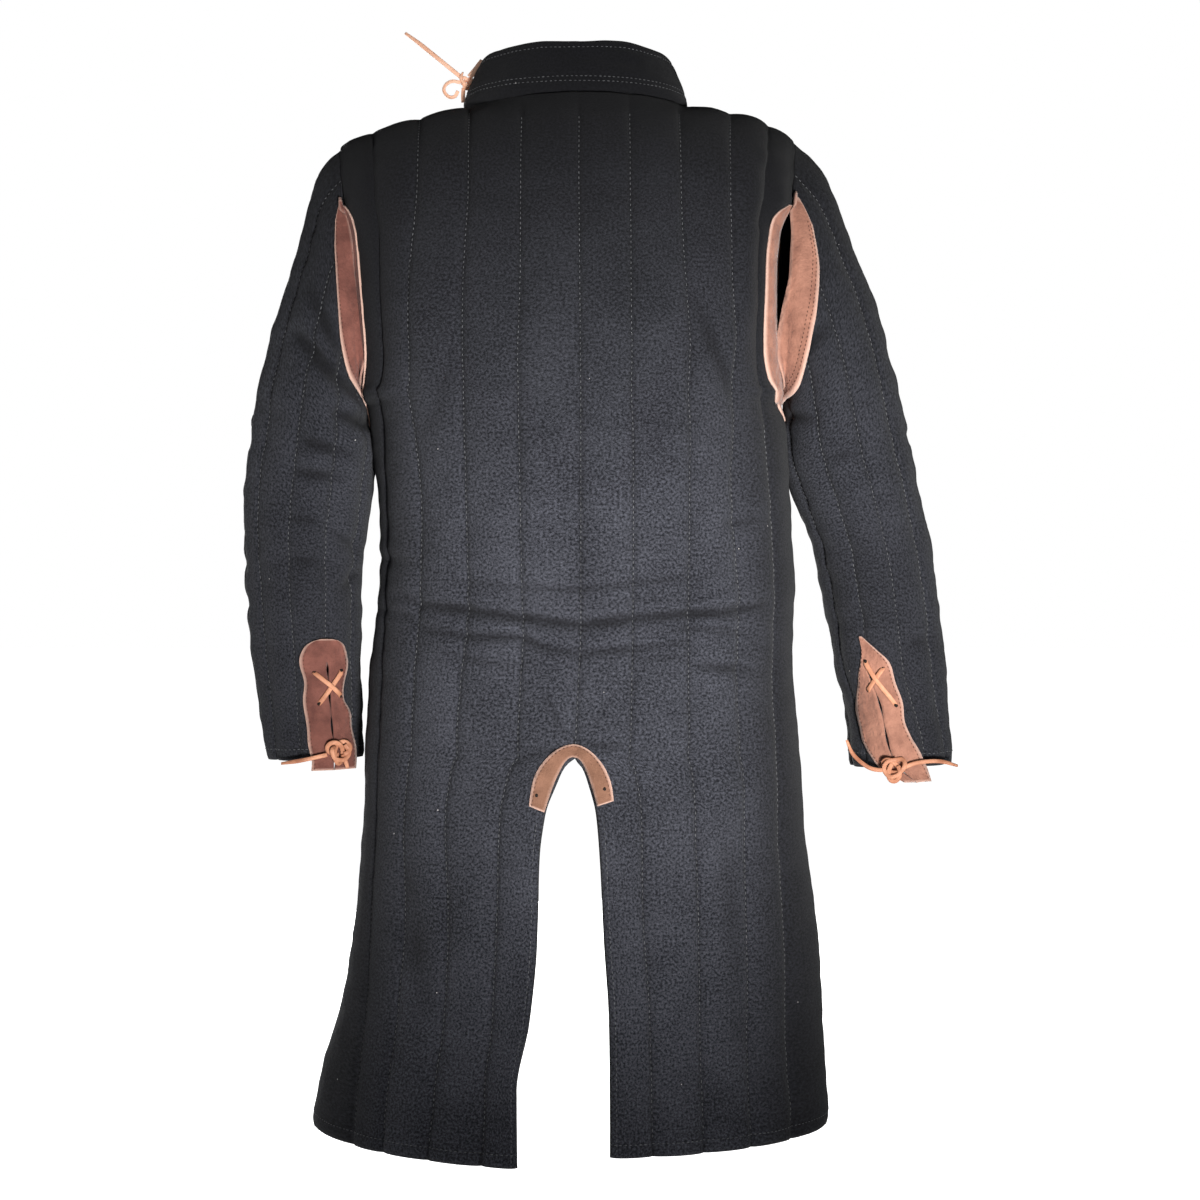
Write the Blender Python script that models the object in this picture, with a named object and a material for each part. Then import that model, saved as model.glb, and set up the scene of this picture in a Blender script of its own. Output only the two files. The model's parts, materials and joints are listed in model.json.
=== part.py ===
"""A quilted gambeson, filled out as if worn: a padded coat of black canvas with leather-edged openings.

Metres, +Z up. The wearer faces -Y and the wearer's left is +X. The origin is the middle of the neck,
at the height where the collar meets the shoulders.
"""

import math
from collections import namedtuple
from functools import lru_cache

import bmesh
import bpy
import numpy as np
from mathutils import Matrix, Vector

# Driving sizes
WALL = 0.003  # quilted wall from its plain inside to a line of stitching
PUFF = 0.0035  # padding stands this much higher between two lines
SEAM = 0.00015  # half of the gap that parts two pieces at a seam
HEM_Z = -1.008
SHOULDER_Z = -0.105  # above this the panels curve over the shoulders
OVER = 0.100  # length of panel above that height, along each column
ARMPIT_Z = -0.300
SEAM_END_Z = -0.109  # the sleeve is sewn to the body above this, and open below
STEPS = 11  # columns from the middle of a panel to its side
NECK_STEP = 4  # the column that ends at the corner of neck and shoulder
NECK_DEPTH = {1: 0.077, -1: 0.084}
NECK_Z = {1: -0.006, -1: -0.026}
NECK_SIDE_Z = -0.006
LEATHER = 0.0022
CLEAR = 0.0010  # leather lies this far above the cloth
UNDERARM_BODY_LIFT = 0.0006  # and this much more where the cloth bends sharply under the arm
UNDERARM_SLEEVE_LIFT = 0.0004
LEATHER_BELOW_CUFF = {1: 0.20, -1: 0.30}  # rings by which the leather hangs below a cuff's edge
RING_BELOW = 0.045  # length of sleeve that such a ring stands for
SLEEVE_COLUMNS = 20
CUFF_SLIT_ANGLE = 120.0  # from the outer side of the arm towards the back and the body
CUFF_SLIT_FROM = 9.6  # ring of the sleeve where the cuff's slit begins
COLLAR_WALL = 0.005
COLLAR_HEIGHT = {1: 0.050, -1: 0.047}
COLLAR_SIDE_HEIGHT = 0.044
COLLAR_WIDER = {1: 0.006, -1: 0.0015}  # it stands this far outside the neck edge at the sides
COLLAR_LEAN = 0.018
COLLAR_CLEAR = 0.0015  # the collar stands this far above the neck edge
COLLAR_SLIT = 358.0  # the collar parts just in front of the wearer's left shoulder
COLLAR_GAP = 1.5  # half of that gap, in degrees
COLLAR_FULL = 0.0015  # the collar's middle stands this far outside its edges
COLLAR_COLUMNS = 36
COLLAR_ROWS = [0.0, 0.15, 0.45, 0.8, 1.0]
NECK_SLIT_TO = -0.220  # lower end of the slit that runs down the front from the neck
NECK_TRIM_HALF = 0.065  # half-width of its leather, as a share of half a panel
NECK_TRIM_ROWS = [
    -0.245, -0.232, NECK_SLIT_TO, -0.200, -0.170, -0.140, SHOULDER_Z, -0.085, -0.065, -0.045, -0.025,
]
NECK_TRIM_SPLIT = 2  # the row of that list where the slit ends
CUFF_TRIM_HALF = 25.0  # half-width of the leather beside a cuff's slit, in degrees round the arm
CUFF_TRIM_SPLIT = 3  # the row of CUFF_TRIM_ROWS where the slit ends
RAISED_COLUMNS = STEPS - 1  # padding is flat beside the side seams, past this column
EVEN_SHARE = 6 / STEPS  # columns are evenly spaced up to here, and follow the armhole beyond
LACE = 0.0036

# Cross-sections of the body, hem to shoulder: x of the middle line, half-widths and depths
Section = namedtuple("Section", "z centre left right back front square")
BODY = [
    Section(-1.010, 0.0085, 0.2520, 0.2610, 0.165, 0.165, 2.10),
    Section(-0.951, 0.0080, 0.2405, 0.2565, 0.160, 0.160, 2.10),
    Section(-0.887, 0.0040, 0.2245, 0.2485, 0.154, 0.155, 2.15),
    Section(-0.823, 0.0020, 0.2155, 0.2425, 0.149, 0.150, 2.20),
    Section(-0.759, 0.0010, 0.2105, 0.2335, 0.144, 0.145, 2.20),
    Section(-0.695, 0.0000, 0.2065, 0.2255, 0.139, 0.141, 2.20),
    Section(-0.631, -0.0020, 0.2075, 0.2185, 0.134, 0.137, 2.25),
    Section(-0.567, -0.0050, 0.2075, 0.2095, 0.126, 0.131, 2.25),
    Section(-0.519, -0.0070, 0.2025, 0.2075, 0.121, 0.128, 2.25),
    Section(-0.487, -0.0070, 0.1995, 0.2095, 0.121, 0.127, 2.25),
    Section(-0.439, -0.0070, 0.1975, 0.2075, 0.123, 0.128, 2.30),
    Section(-0.391, -0.0070, 0.1985, 0.2045, 0.127, 0.131, 2.30),
    Section(-0.327, -0.0070, 0.2025, 0.1975, 0.130, 0.135, 2.30),
    Section(-0.300, -0.0070, 0.2080, 0.1905, 0.130, 0.135, 2.30),
    Section(-0.250, -0.0065, 0.2250, 0.2080, 0.129, 0.134, 2.35),
    Section(-0.200, -0.0060, 0.2380, 0.2240, 0.125, 0.130, 2.40),
    Section(-0.150, -0.0055, 0.2460, 0.2340, 0.118, 0.122, 2.40),
    Section(-0.105, -0.0050, 0.2500, 0.2400, 0.109, 0.110, 2.40),
]

# Top line of the shoulders, from the corner of the neck to the sleeve
Ridge = namedtuple("Ridge", "x left right")
RIDGE = [
    Ridge(0.105, -0.006, -0.006),
    Ridge(0.130, -0.010, -0.007),
    Ridge(0.150, -0.016, -0.011),
    Ridge(0.175, -0.022, -0.015),
    Ridge(0.195, -0.028, -0.022),
    Ridge(0.212, -0.034, -0.032),
    Ridge(0.218, -0.037, -0.036),
    Ridge(0.233, -0.045, -0.045),
]

# Edges of the slit in the back of the skirt, and how much wider the front one is on each side
Slit = namedtuple("Slit", "z left right")
SLIT = [
    Slit(-1.010, 0.0515, -0.0345),
    Slit(-0.942, 0.0522, -0.0342),
    Slit(-0.885, 0.0404, -0.0333),
    Slit(-0.812, 0.0332, -0.0287),
    Slit(-0.739, 0.0315, -0.0250),
    Slit(-0.695, 0.0260, -0.0213),
    Slit(-0.666, 0.0150, -0.0138),
    Slit(-0.652, 0.0085, -0.0085),
    Slit(-0.643, 0.0000, 0.0000),
]
SLIT_TOP = -0.643
FRONT_SLIT_MORE = 0.016

# Free edge of the body below the sleeve seam, as distance from the middle of the back and depth
Edge = namedtuple("Edge", "z left right depth")
EDGE = [
    Edge(-0.3000, 0.2010, 0.1975, 0.000),
    Edge(-0.2970, 0.2025, 0.1985, 0.014),
    Edge(-0.2850, 0.2040, 0.1985, 0.031),
    Edge(-0.2600, 0.2045, 0.1970, 0.046),
    Edge(-0.2200, 0.2075, 0.1955, 0.056),
    Edge(-0.1800, 0.2110, 0.1955, 0.061),
    Edge(-0.1400, 0.2150, 0.1990, 0.0625),
]

# Creases across the body at the waist: heights at the wearer's left, middle and right
Crease = namedtuple("Crease", "left middle right depth width")
CREASES = [
    Crease(-0.478, -0.482, -0.468, 0.0040, 0.010),
    Crease(-0.500, -0.516, -0.506, 0.0070, 0.012),
    Crease(-0.522, -0.545, -0.538, 0.0045, 0.010),
]

# Rings of a sleeve from armhole to cuff: outer and inner points of each, its depth and its middle
Ring = namedtuple("Ring", "outer_x outer_z inner_x inner_z depth middle bow")
SLEEVES = {
    1: [
        Ring(0.2335, -0.044, 0.2125, -0.291, 0.0660, 0.000, -0.004),
        Ring(0.2530, -0.070, 0.2140, -0.297, 0.0670, 0.000, -0.002),
        Ring(0.2720, -0.135, 0.2135, -0.310, 0.0670, 0.000, 0.000),
        Ring(0.2915, -0.199, 0.2100, -0.330, 0.0660, -0.001, 0.000),
        Ring(0.3105, -0.263, 0.2075, -0.357, 0.0650, -0.003, 0.000),
        Ring(0.3215, -0.320, 0.2075, -0.386, 0.0630, -0.006, 0.000),
        Ring(0.3290, -0.375, 0.2105, -0.415, 0.0610, -0.009, 0.000),
        Ring(0.3315, -0.425, 0.2150, -0.446, 0.0590, -0.012, 0.000),
        Ring(0.3305, -0.474, 0.2165, -0.482, 0.0570, -0.016, 0.000),
        Ring(0.3265, -0.522, 0.2180, -0.524, 0.0550, -0.020, 0.000),
        Ring(0.3225, -0.567, 0.2180, -0.566, 0.0530, -0.024, 0.000),
        Ring(0.3175, -0.612, 0.2180, -0.609, 0.0520, -0.028, 0.000),
        Ring(0.3120, -0.655, 0.2145, -0.653, 0.0510, -0.031, 0.000),
    ],
    -1: [
        Ring(-0.2195, -0.038, -0.2090, -0.290, 0.0660, 0.000, 0.005),
        Ring(-0.2465, -0.070, -0.2115, -0.297, 0.0670, 0.000, 0.002),
        Ring(-0.2725, -0.135, -0.2125, -0.310, 0.0670, 0.000, 0.000),
        Ring(-0.2975, -0.199, -0.2120, -0.328, 0.0660, 0.000, 0.000),
        Ring(-0.3155, -0.263, -0.2125, -0.353, 0.0650, -0.001, 0.000),
        Ring(-0.3280, -0.320, -0.2170, -0.380, 0.0630, -0.003, 0.000),
        Ring(-0.3400, -0.375, -0.2280, -0.408, 0.0610, -0.005, 0.000),
        Ring(-0.3510, -0.425, -0.2400, -0.441, 0.0590, -0.007, 0.000),
        Ring(-0.3610, -0.474, -0.2480, -0.478, 0.0570, -0.010, 0.000),
        Ring(-0.3665, -0.522, -0.2560, -0.521, 0.0550, -0.013, 0.000),
        Ring(-0.3710, -0.567, -0.2640, -0.564, 0.0530, -0.016, 0.000),
        Ring(-0.3745, -0.612, -0.2750, -0.607, 0.0520, -0.019, 0.000),
        Ring(-0.3800, -0.658, -0.2790, -0.662, 0.0510, -0.022, 0.000),
    ],
}

Station = namedtuple("Station", ("at",) + Ring._fields)

# Creases across the sleeves: ring, angle of the deepest place, reach round the arm, depth
Bend = namedtuple("Bend", "ring angle reach depth")
BENDS = {
    1: [
        Bend(3.0, 110.0, 55.0, 0.0060),
        Bend(5.0, 120.0, 60.0, 0.0040),
        Bend(7.0, 100.0, 70.0, 0.0045),
        Bend(9.0, 90.0, 60.0, 0.0035),
    ],
    -1: [
        Bend(3.0, 130.0, 50.0, 0.0050),
        Bend(5.0, 120.0, 50.0, 0.0030),
        Bend(8.0, -95.0, 60.0, 0.0035),
    ],
}

# Leather on the body's edge under the arm: height of its edge, its width as a share of half a panel,
# and the height of its other edge
Band = namedtuple("Band", "edge width far")
BODY_BAND = [
    Band(-0.118, 0.075, -0.118),
    Band(-0.128, 0.080, -0.128),
    Band(-0.140, 0.085, -0.140),
    Band(-0.160, 0.090, -0.160),
    Band(-0.180, 0.090, -0.182),
    Band(-0.200, 0.090, -0.205),
    Band(-0.220, 0.090, -0.230),
    Band(-0.240, 0.090, -0.256),
    Band(-0.260, 0.085, -0.281),
    Band(-0.273, 0.075, -0.298),
    Band(-0.285, 0.055, -0.312),
    Band(-0.293, 0.030, -0.319),
]
BODY_BAND_FIRST = 0.99  # its first point stands this share of the way to the seam
BODY_BAND_UNDER = (-0.2998, -0.322)  # both edges of the leather right under the arm

# Leather on the sleeve's edge: from and to, in degrees round the arm, and rings from its edge
SLEEVE_BAND_FROM = 66
SLEEVE_BAND_TO = 294
SLEEVE_BAND_COLUMNS = 26
SLEEVE_BAND_RINGS = [0.02, 0.25, 0.50, 1.00]
SLEEVE_BAND_LAST = 1.2  # its far edge at both ends
SLEEVE_BAND_DROP = 0.6  # and this many rings farther under the arm

# Leather round a cuff's slit: ring and share of its half-width
Tongue = namedtuple("Tongue", "ring width")
CUFF_TRIM_ROWS = [
    Tongue(9.25, 0.50),
    Tongue(9.35, 0.85),
    Tongue(CUFF_SLIT_FROM, 1.00),
    Tongue(10.2, 1.00),
    Tongue(10.8, 1.00),
    Tongue(11.4, 1.00),
    Tongue(12.0, 1.00),
]

# Leather arch over the slit in the back, wearer's left to right
Arch = namedtuple("Arch", "inner_x inner_z outer_x outer_z")
ARCH = [
    Arch(0.0265, -0.6927, 0.0405, -0.6870),
    Arch(0.0190, -0.6700, 0.0370, -0.6640),
    Arch(0.0130, -0.6560, 0.0290, -0.6480),
    Arch(0.0065, -0.6450, 0.0155, -0.6350),
    Arch(0.0000, -0.6415, 0.0000, -0.6296),
    Arch(-0.0070, -0.6450, -0.0145, -0.6350),
    Arch(-0.0125, -0.6560, -0.0270, -0.6480),
    Arch(-0.0175, -0.6700, -0.0345, -0.6640),
    Arch(-0.0220, -0.6870, -0.0375, -0.6820),
]

# Knots of the cuff laces: side, degrees round the arm, ring, half-sizes and height above the leather
Knot = namedtuple("Knot", "name side angle ring half_across half_deep half_along clear")
KNOTS = [
    Knot("cuff_lace_knot_left", 1, 121.0, 11.78, 0.0120, 0.0055, 0.0100, 0.0006),
    Knot("cuff_lace_knot_right", -1, 105.0, 11.98, 0.0105, 0.0055, 0.0110, -0.0002),
]
COLLAR_KNOT = Vector((0.1086, -0.0020, 0.0230))
COLLAR_KNOT_HALF = (0.0060, 0.0050, 0.0060)
KNOT_GAP = 0.0008

# Strands that leave a knot, each with the points that it passes: four free ends, a loop, and two
# that close the collar
Strand = namedtuple("Strand", "name knot points")
STRANDS = [
    Strand("cuff_lace_tail_left", "cuff_lace_knot_left", [
        (0.2600, 0.0325, -0.6510), (0.2720, 0.0325, -0.6535), (0.2889, 0.0310, -0.6560),
    ]),
    Strand("cuff_lace_tail_right_in", "cuff_lace_knot_right", [
        (-0.2930, 0.0365, -0.6610), (-0.2849, 0.0345, -0.6570), (-0.2741, 0.0300, -0.6467),
        (-0.2681, 0.0280, -0.6330),
    ]),
    Strand("cuff_lace_tail_right_out", "cuff_lace_knot_right", [
        (-0.3340, 0.0395, -0.6550), (-0.3480, 0.0370, -0.6533), (-0.3619, 0.0330, -0.6540),
        (-0.3777, 0.0270, -0.6585),
    ]),
    Strand("collar_lace_tail", "collar_lace_knot", [
        (0.1285, -0.0020, 0.0400), (0.1420, -0.0020, 0.0510), (0.1570, -0.0020, 0.0630),
        (0.1700, -0.0020, 0.0725),
    ]),
    Strand("collar_lace_loop", "collar_lace_knot", [
        (0.1225, 0.0010, 0.0235), (0.1290, 0.0000, 0.0205), (0.1312, -0.0010, 0.0145),
        (0.1265, -0.0030, 0.0090), (0.1205, -0.0040, 0.0095), (0.1180, -0.0050, 0.0125),
    ]),
    Strand("collar_lace_upper", "collar_lace_knot", [
        (0.1005, -0.0020, 0.0345), (0.0968, -0.0020, 0.0392), (0.0940, -0.0020, 0.0435),
    ]),
    Strand("collar_lace_lower", "collar_lace_knot", [
        (0.1120, -0.0020, 0.0120), (0.1120, -0.0020, 0.0080), (0.1118, -0.0020, 0.0030),
    ]),
]

# Lacing that crosses each cuff slit: degrees from the slit and ring of both ends
Cross = namedtuple("Cross", "name side from_turn from_ring to_turn to_ring rise")
CROSSES = [
    Cross("cuff_lace_cross_left_a", 1, 12.0, 9.90, -12.0, 10.65, 0.0),
    Cross("cuff_lace_cross_left_b", 1, -12.0, 9.90, 14.0, 10.75, 0.0042),
    Cross("cuff_lace_cross_right_a", -1, 12.0, 9.90, -10.0, 10.50, 0.0),
    Cross("cuff_lace_cross_right_b", -1, -12.0, 9.80, 13.0, 10.80, 0.0042),
]

COLOURS = {
    "canvas": (0.028, 0.029, 0.034, 1.0),
    "leather": (0.26, 0.13, 0.09, 1.0),
    "lace": (0.62, 0.29, 0.14, 1.0),
}


def clear_scene():
    for obj in list(bpy.data.objects):
        bpy.data.objects.remove(obj, do_unlink=True)


def material(name, roughness):
    made = bpy.data.materials.new(name)
    made.use_nodes = True
    shader = made.node_tree.nodes["Principled BSDF"]
    shader.inputs["Base Color"].default_value = COLOURS[name]
    shader.inputs["Roughness"].default_value = roughness
    shader.inputs["Metallic"].default_value = 0.0
    return made


def smooth(table, column, at, key=0):
    """One column of a table at a place between its rows, on a smooth curve through them."""
    rows = sorted(table)
    x = [row[key] for row in rows]
    y = [getattr(row, column) for row in rows]
    at = min(max(at, x[0]), x[-1])
    k = min(max(int(np.searchsorted(x, at)) - 1, 0), len(x) - 2)
    slope = [(y[n + 1] - y[n]) / (x[n + 1] - x[n]) for n in range(len(x) - 1)]

    def tangent(n):
        if n in (0, len(x) - 1):
            return slope[min(n, len(slope) - 1)]
        before, after = slope[n - 1], slope[n]
        return 0.0 if before * after <= 0 else 2 * before * after / (before + after)

    width = x[k + 1] - x[k]
    t = (at - x[k]) / width
    rise = (1 + 2 * t) * (1 - t) ** 2 * y[k] + t * t * (3 - 2 * t) * y[k + 1]
    return rise + width * (t * (1 - t) ** 2 * tangent(k) - t * t * (1 - t) * tangent(k + 1))


def step(low, high, at):
    t = min(max((at - low) / (high - low), 0.0), 1.0)
    return t * t * (3 - 2 * t)


@lru_cache(maxsize=None)
def quarter(z, face, side):
    """A quarter of the body's section: x and y of its points, and how far along it each lies."""
    wide = smooth(BODY, "left" if side > 0 else "right", z)
    deep = smooth(BODY, "back" if face > 0 else "front", z)
    power = 2 / smooth(BODY, "square", z)
    turn = np.linspace(0.0, math.pi / 2, 181)
    x = wide * np.sin(turn) ** power
    y = deep * np.cos(turn) ** power
    along = np.concatenate([[0.0], np.cumsum(np.hypot(np.diff(x), np.diff(y)))])
    return x, y, along


@lru_cache(maxsize=None)
def armhole(side, z):
    """The place on the sleeve's first ring at a height, on its back half."""
    ring = SLEEVES[side][0]
    rise = (ring.outer_z - ring.inner_z) / 2
    lift = (z - (ring.outer_z + ring.inner_z) / 2) / rise
    lift = min(max(lift, -1.0), 1.0)
    across = math.sqrt(1 - lift * lift)
    x = (ring.outer_x + ring.inner_x) / 2 + (ring.outer_x - ring.inner_x) / 2 * lift
    return x + ring.bow * across * across, ring.depth * across


@lru_cache(maxsize=None)
def body_edge(z, side):
    """x and depth of the body's edge: free below the sleeve seam, and on the sleeve's ring above."""
    if z >= SEAM_END_Z:
        return armhole(side, z)
    top_x, top_y = armhole(side, SEAM_END_Z)
    join = EDGE + [Edge(SEAM_END_Z, abs(top_x), abs(top_x), top_y)]
    return side * smooth(join, "left" if side > 0 else "right", z), smooth(join, "depth", z)


@lru_cache(maxsize=None)
def slit_edge(z, face, side):
    """How far the skirt's slit reaches from the middle line, along the panel."""
    if z >= SLIT_TOP:
        return 0.0
    middle = smooth(BODY, "centre", z)
    reach = side * (smooth(SLIT, "left" if side > 0 else "right", z) - middle)
    if z > SLIT[-2].z:
        reach = max(reach, 0.0)
    more = 0.0 if face > 0 else FRONT_SLIT_MORE * step(0.0, 0.03, SLIT_TOP - z)
    return max(reach, 0.0) + more


def corner(side):
    """x of the corner where the neck meets the shoulder."""
    x, y, along = quarter(SHOULDER_Z, 1, side)
    inner = float(np.interp(NECK_STEP / STEPS * along[-1], along, x))
    return smooth(BODY, "centre", SHOULDER_Z) + side * inner


def over_shoulder(x, y, across, v, face, side):
    """Carries a column's point on over the shoulder, to the neck or to the shoulder seam."""
    middle = smooth(BODY, "centre", SHOULDER_Z)
    neck = abs((x - middle) / (corner(side) - middle))
    if neck < 0.999:
        inward = math.sqrt(1 - neck * neck)
        end_y = NECK_DEPTH[face] * inward
        end_z = NECK_SIDE_Z + (NECK_Z[face] - NECK_SIDE_Z) * inward**2
    else:
        end_y = 0.0
        end_z = smooth(RIDGE, "left" if side > 0 else "right", abs(x))
    turn = (v - SHOULDER_Z) / OVER * math.acos(min(end_y / y, 1.0))
    full = math.sin(math.acos(min(end_y / y, 1.0)))
    return y * math.cos(turn), SHOULDER_Z + (end_z - SHOULDER_Z) * math.sin(turn) / full


@lru_cache(maxsize=None)
def body_point(face, across, v, half=0):
    """A point on the outside of the back (face 1) or front (face -1), along a line of stitching.

    across runs from -1 at the wearer's right side seam to 1 at the left one, v is the height and goes
    on over the shoulder, and half says which side of a slit the middle column is on."""
    z = min(v, SHOULDER_Z)
    side = 1 if across > 0 or (across == 0 and half >= 0) else -1
    middle = smooth(BODY, "centre", z)
    x, y, along = quarter(z, face, side)
    far = abs(across)
    cut = slit_edge(z, face, side) if far > 0 or half else 0.0
    start = cut / along[-1]
    end = 1.0
    if z > ARMPIT_Z:
        edge_x, edge_y = body_edge(z, side)
        reach = side * (edge_x - middle)
        end = float(np.interp(reach, x, along)) / along[-1]
    beyond = (far - EVEN_SHARE) * (end - EVEN_SHARE) / (1 - EVEN_SHARE)
    place = far if far < EVEN_SHARE else EVEN_SHARE + beyond
    place = start + (1 - start) * place
    px = middle + side * float(np.interp(place * along[-1], along, x))
    py = float(np.interp(place * along[-1], along, y))
    if v > SHOULDER_Z:
        py, z = over_shoulder(px, py, across, v, face, side)
    if z > ARMPIT_Z:
        last_x = middle + side * float(np.interp(end * along[-1], along, x))
        last_y = float(np.interp(end * along[-1], along, y))
        edge_z = last_z = z
        if v > SHOULDER_Z:
            last_y, last_z = over_shoulder(last_x, last_y, side, v, face, side)
            turn = (v - SHOULDER_Z) / OVER * math.pi / 2
            edge_z = SHOULDER_Z + (SLEEVES[side][0].outer_z - SHOULDER_Z) * math.sin(turn)
        edge_x, edge_y = body_edge(round(edge_z, 6), side)
        pull = step(0.55, 1.0, far)
        px += pull * (edge_x - side * SEAM - last_x)
        py += pull * (edge_y - last_y)
        z += pull * (edge_z - last_z)
    drop = 0.010 * step(-0.85, HEM_Z, z) * (1 - far) if side > 0 and face > 0 else 0.0
    return Vector((px, face * (max(py, 0.0) + SEAM), z - drop))


def crease_depth(z, across):
    total = 0.0
    for fold in CREASES:
        end = fold.left if across > 0 else fold.right
        place = fold.middle + (end - fold.middle) * abs(across) ** 1.5
        total += fold.depth * math.exp(-(((z - place) / fold.width) ** 2))
    return total


def body_normal(face, across, v, half=0):
    """Outward direction of the body there, kept in the seam's plane along a seam."""
    small, rise = 0.01, 0.004
    low, high = max(across - small, -1.0), min(across + small, 1.0)
    if half > 0:
        low = across
    if half < 0:
        high = across
    over = min(v + rise, SHOULDER_Z + OVER)
    under = max(v - rise, HEM_Z)
    side = 1 if across > 0 or half > 0 else -1
    a = body_point(face, low, v, half if low == across else 0)
    b = body_point(face, high, v, half if high == across else 0)
    up = body_point(face, across, over, half) - body_point(face, across, under, half)
    normal = (b - a).cross(up).normalized() * (1 if face < 0 else -1)
    if abs(across) == 1.0 and v >= SHOULDER_Z + OVER:
        ring = SLEEVES[side][0]
        normal = Vector((ring.outer_x - ring.inner_x, 0.0, ring.outer_z - ring.inner_z))
    elif abs(across) == 1.0 and v > SHOULDER_Z - 0.005:
        ring = SLEEVES[side][0]
        plane = Vector((ring.outer_z - ring.inner_z, 0.0, ring.inner_x - ring.outer_x)).normalized()
        normal = normal - normal.dot(plane) * plane
    elif (abs(across) == 1.0 and v <= ARMPIT_Z) or (v >= SHOULDER_Z + OVER and abs(across) > 0.35):
        normal.y = 0.0
    return normal.normalized()


def body_outer(face, across, v, half=0, extra=0.0):
    """A point on the body's quilted outside, or above it."""
    column = abs(across) * STEPS
    raised = PUFF * abs(math.sin(column * math.pi / 2)) if column < RAISED_COLUMNS else 0.0
    raised *= 1 - step(SHOULDER_Z + 0.7 * OVER, SHOULDER_Z + OVER, v)
    raised -= crease_depth(v, across)
    return body_point(face, across, v, half) + body_normal(face, across, v, half) * (raised + extra)


def body_inner(face, across, v, half=0):
    deep = WALL + crease_depth(v, across)
    return body_point(face, across, v, half) - body_normal(face, across, v, half) * deep


@lru_cache(maxsize=None)
def sleeve_point(side, angle, along):
    """A point on the outside of a sleeve: angle 0 is its outer side, 90 its back, and along counts rings."""
    rings = [Station(n, *ring) for n, ring in enumerate(SLEEVES[side])]
    outer = Vector((smooth(rings, "outer_x", along), 0.0, smooth(rings, "outer_z", along)))
    inner = Vector((smooth(rings, "inner_x", along), 0.0, smooth(rings, "inner_z", along)))
    turn = math.radians(angle)
    middle = (outer + inner) / 2 + (outer - inner) / 2 * math.cos(turn)
    middle.x += smooth(rings, "bow", along) * math.sin(turn) ** 2
    middle.y = smooth(rings, "middle", along) + smooth(rings, "depth", along) * math.sin(turn)
    middle.z -= RING_BELOW * max(along - len(rings) + 1, 0.0)
    return middle


def sleeve_normal(side, angle, along):
    last = len(SLEEVES[side]) - 1
    low, high = min(max(along - 0.15, 0.0), last - 0.15), min(along + 0.15, last)
    round_ = sleeve_point(side, angle + 3, along) - sleeve_point(side, angle - 3, along)
    down = sleeve_point(side, angle, high) - sleeve_point(side, angle, low)
    normal = down.cross(round_).normalized() * side
    if along == 0:
        ring = SLEEVES[side][0]
        plane = Vector((ring.outer_z - ring.inner_z, 0.0, ring.inner_x - ring.outer_x)).normalized()
        sewn = step(SEAM_END_Z - 0.03, SEAM_END_Z, sleeve_point(side, angle, 0).z)
        normal = (normal - sewn * normal.dot(plane) * plane).normalized()
    return normal


def sleeve_dip(side, angle, along):
    total = 0.0
    for fold in BENDS[side]:
        turn = (angle - fold.angle + 180) % 360 - 180
        total += fold.depth * math.exp(-(((along - fold.ring) / 0.35) ** 2 + (turn / fold.reach) ** 2))
    return total


def sleeve_outer(side, angle, along, extra=0.0):
    channel = (angle - 12) / 36 * math.pi
    raised = PUFF * abs(math.sin(channel)) * step(0.0, 0.5, along) - sleeve_dip(side, angle, along)
    return sleeve_point(side, angle, along) + sleeve_normal(side, angle, along) * (raised + extra)


def sleeve_inner(side, angle, along):
    deep = WALL + sleeve_dip(side, angle, along)
    return sleeve_point(side, angle, along) - sleeve_normal(side, angle, along) * deep


def wall(name, squares, outside, inside, cloth):
    """A closed wall from squares of keys: each has a point outside and one inside, joined at the rims."""
    mesh = bmesh.new()
    keys = list(dict.fromkeys(key for square in squares for key in square))
    outer = {key: mesh.verts.new(outside(key)) for key in keys}
    inner = {key: mesh.verts.new(inside(key)) for key in keys}
    count = {}
    for square in squares:
        mesh.faces.new([outer[key] for key in square])
        mesh.faces.new([inner[key] for key in reversed(square)])
        for a, b in zip(square, square[1:] + square[:1]):
            count[frozenset((a, b))] = (a, b) if frozenset((a, b)) not in count else None
    for edge in count.values():
        if edge:
            a, b = edge
            mesh.faces.new([outer[b], outer[a], inner[a], inner[b]])
    bmesh.ops.recalc_face_normals(mesh, faces=mesh.faces[:])
    bmesh.ops.triangulate(mesh, faces=mesh.faces[:], quad_method="BEAUTY", ngon_method="BEAUTY")
    if mesh.calc_volume(signed=True) < 0:
        bmesh.ops.reverse_faces(mesh, faces=mesh.faces[:])
    return finished(name, mesh, cloth)


def finished(name, mesh, made_of):
    data = bpy.data.meshes.new(name)
    mesh.to_mesh(data)
    mesh.free()
    data.shade_smooth()
    data.set_sharp_from_angle(angle=math.radians(50))
    data.materials.append(made_of)
    obj = bpy.data.objects.new(name, data)
    bpy.context.scene.collection.objects.link(obj)
    return obj


def body_heights():
    """Heights of the rows of a panel: close at the slit, the waist and the armhole, wider elsewhere."""
    skirt = [HEM_Z, -0.965, -0.915, -0.865, -0.815, -0.770, -0.730, -0.700, -0.678, -0.662, -0.652]
    waist = [SLIT_TOP, -0.615, -0.585, -0.562, -0.543, -0.528, -0.514, -0.498, -0.482, -0.464, -0.445]
    chest = [-0.400, -0.355, -0.320, ARMPIT_Z, -0.297, -0.285, -0.260, -0.220, -0.180, -0.140]
    over = [SHOULDER_Z + OVER * n / 5 for n in range(6)]
    return skirt + waist + chest + over


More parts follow.
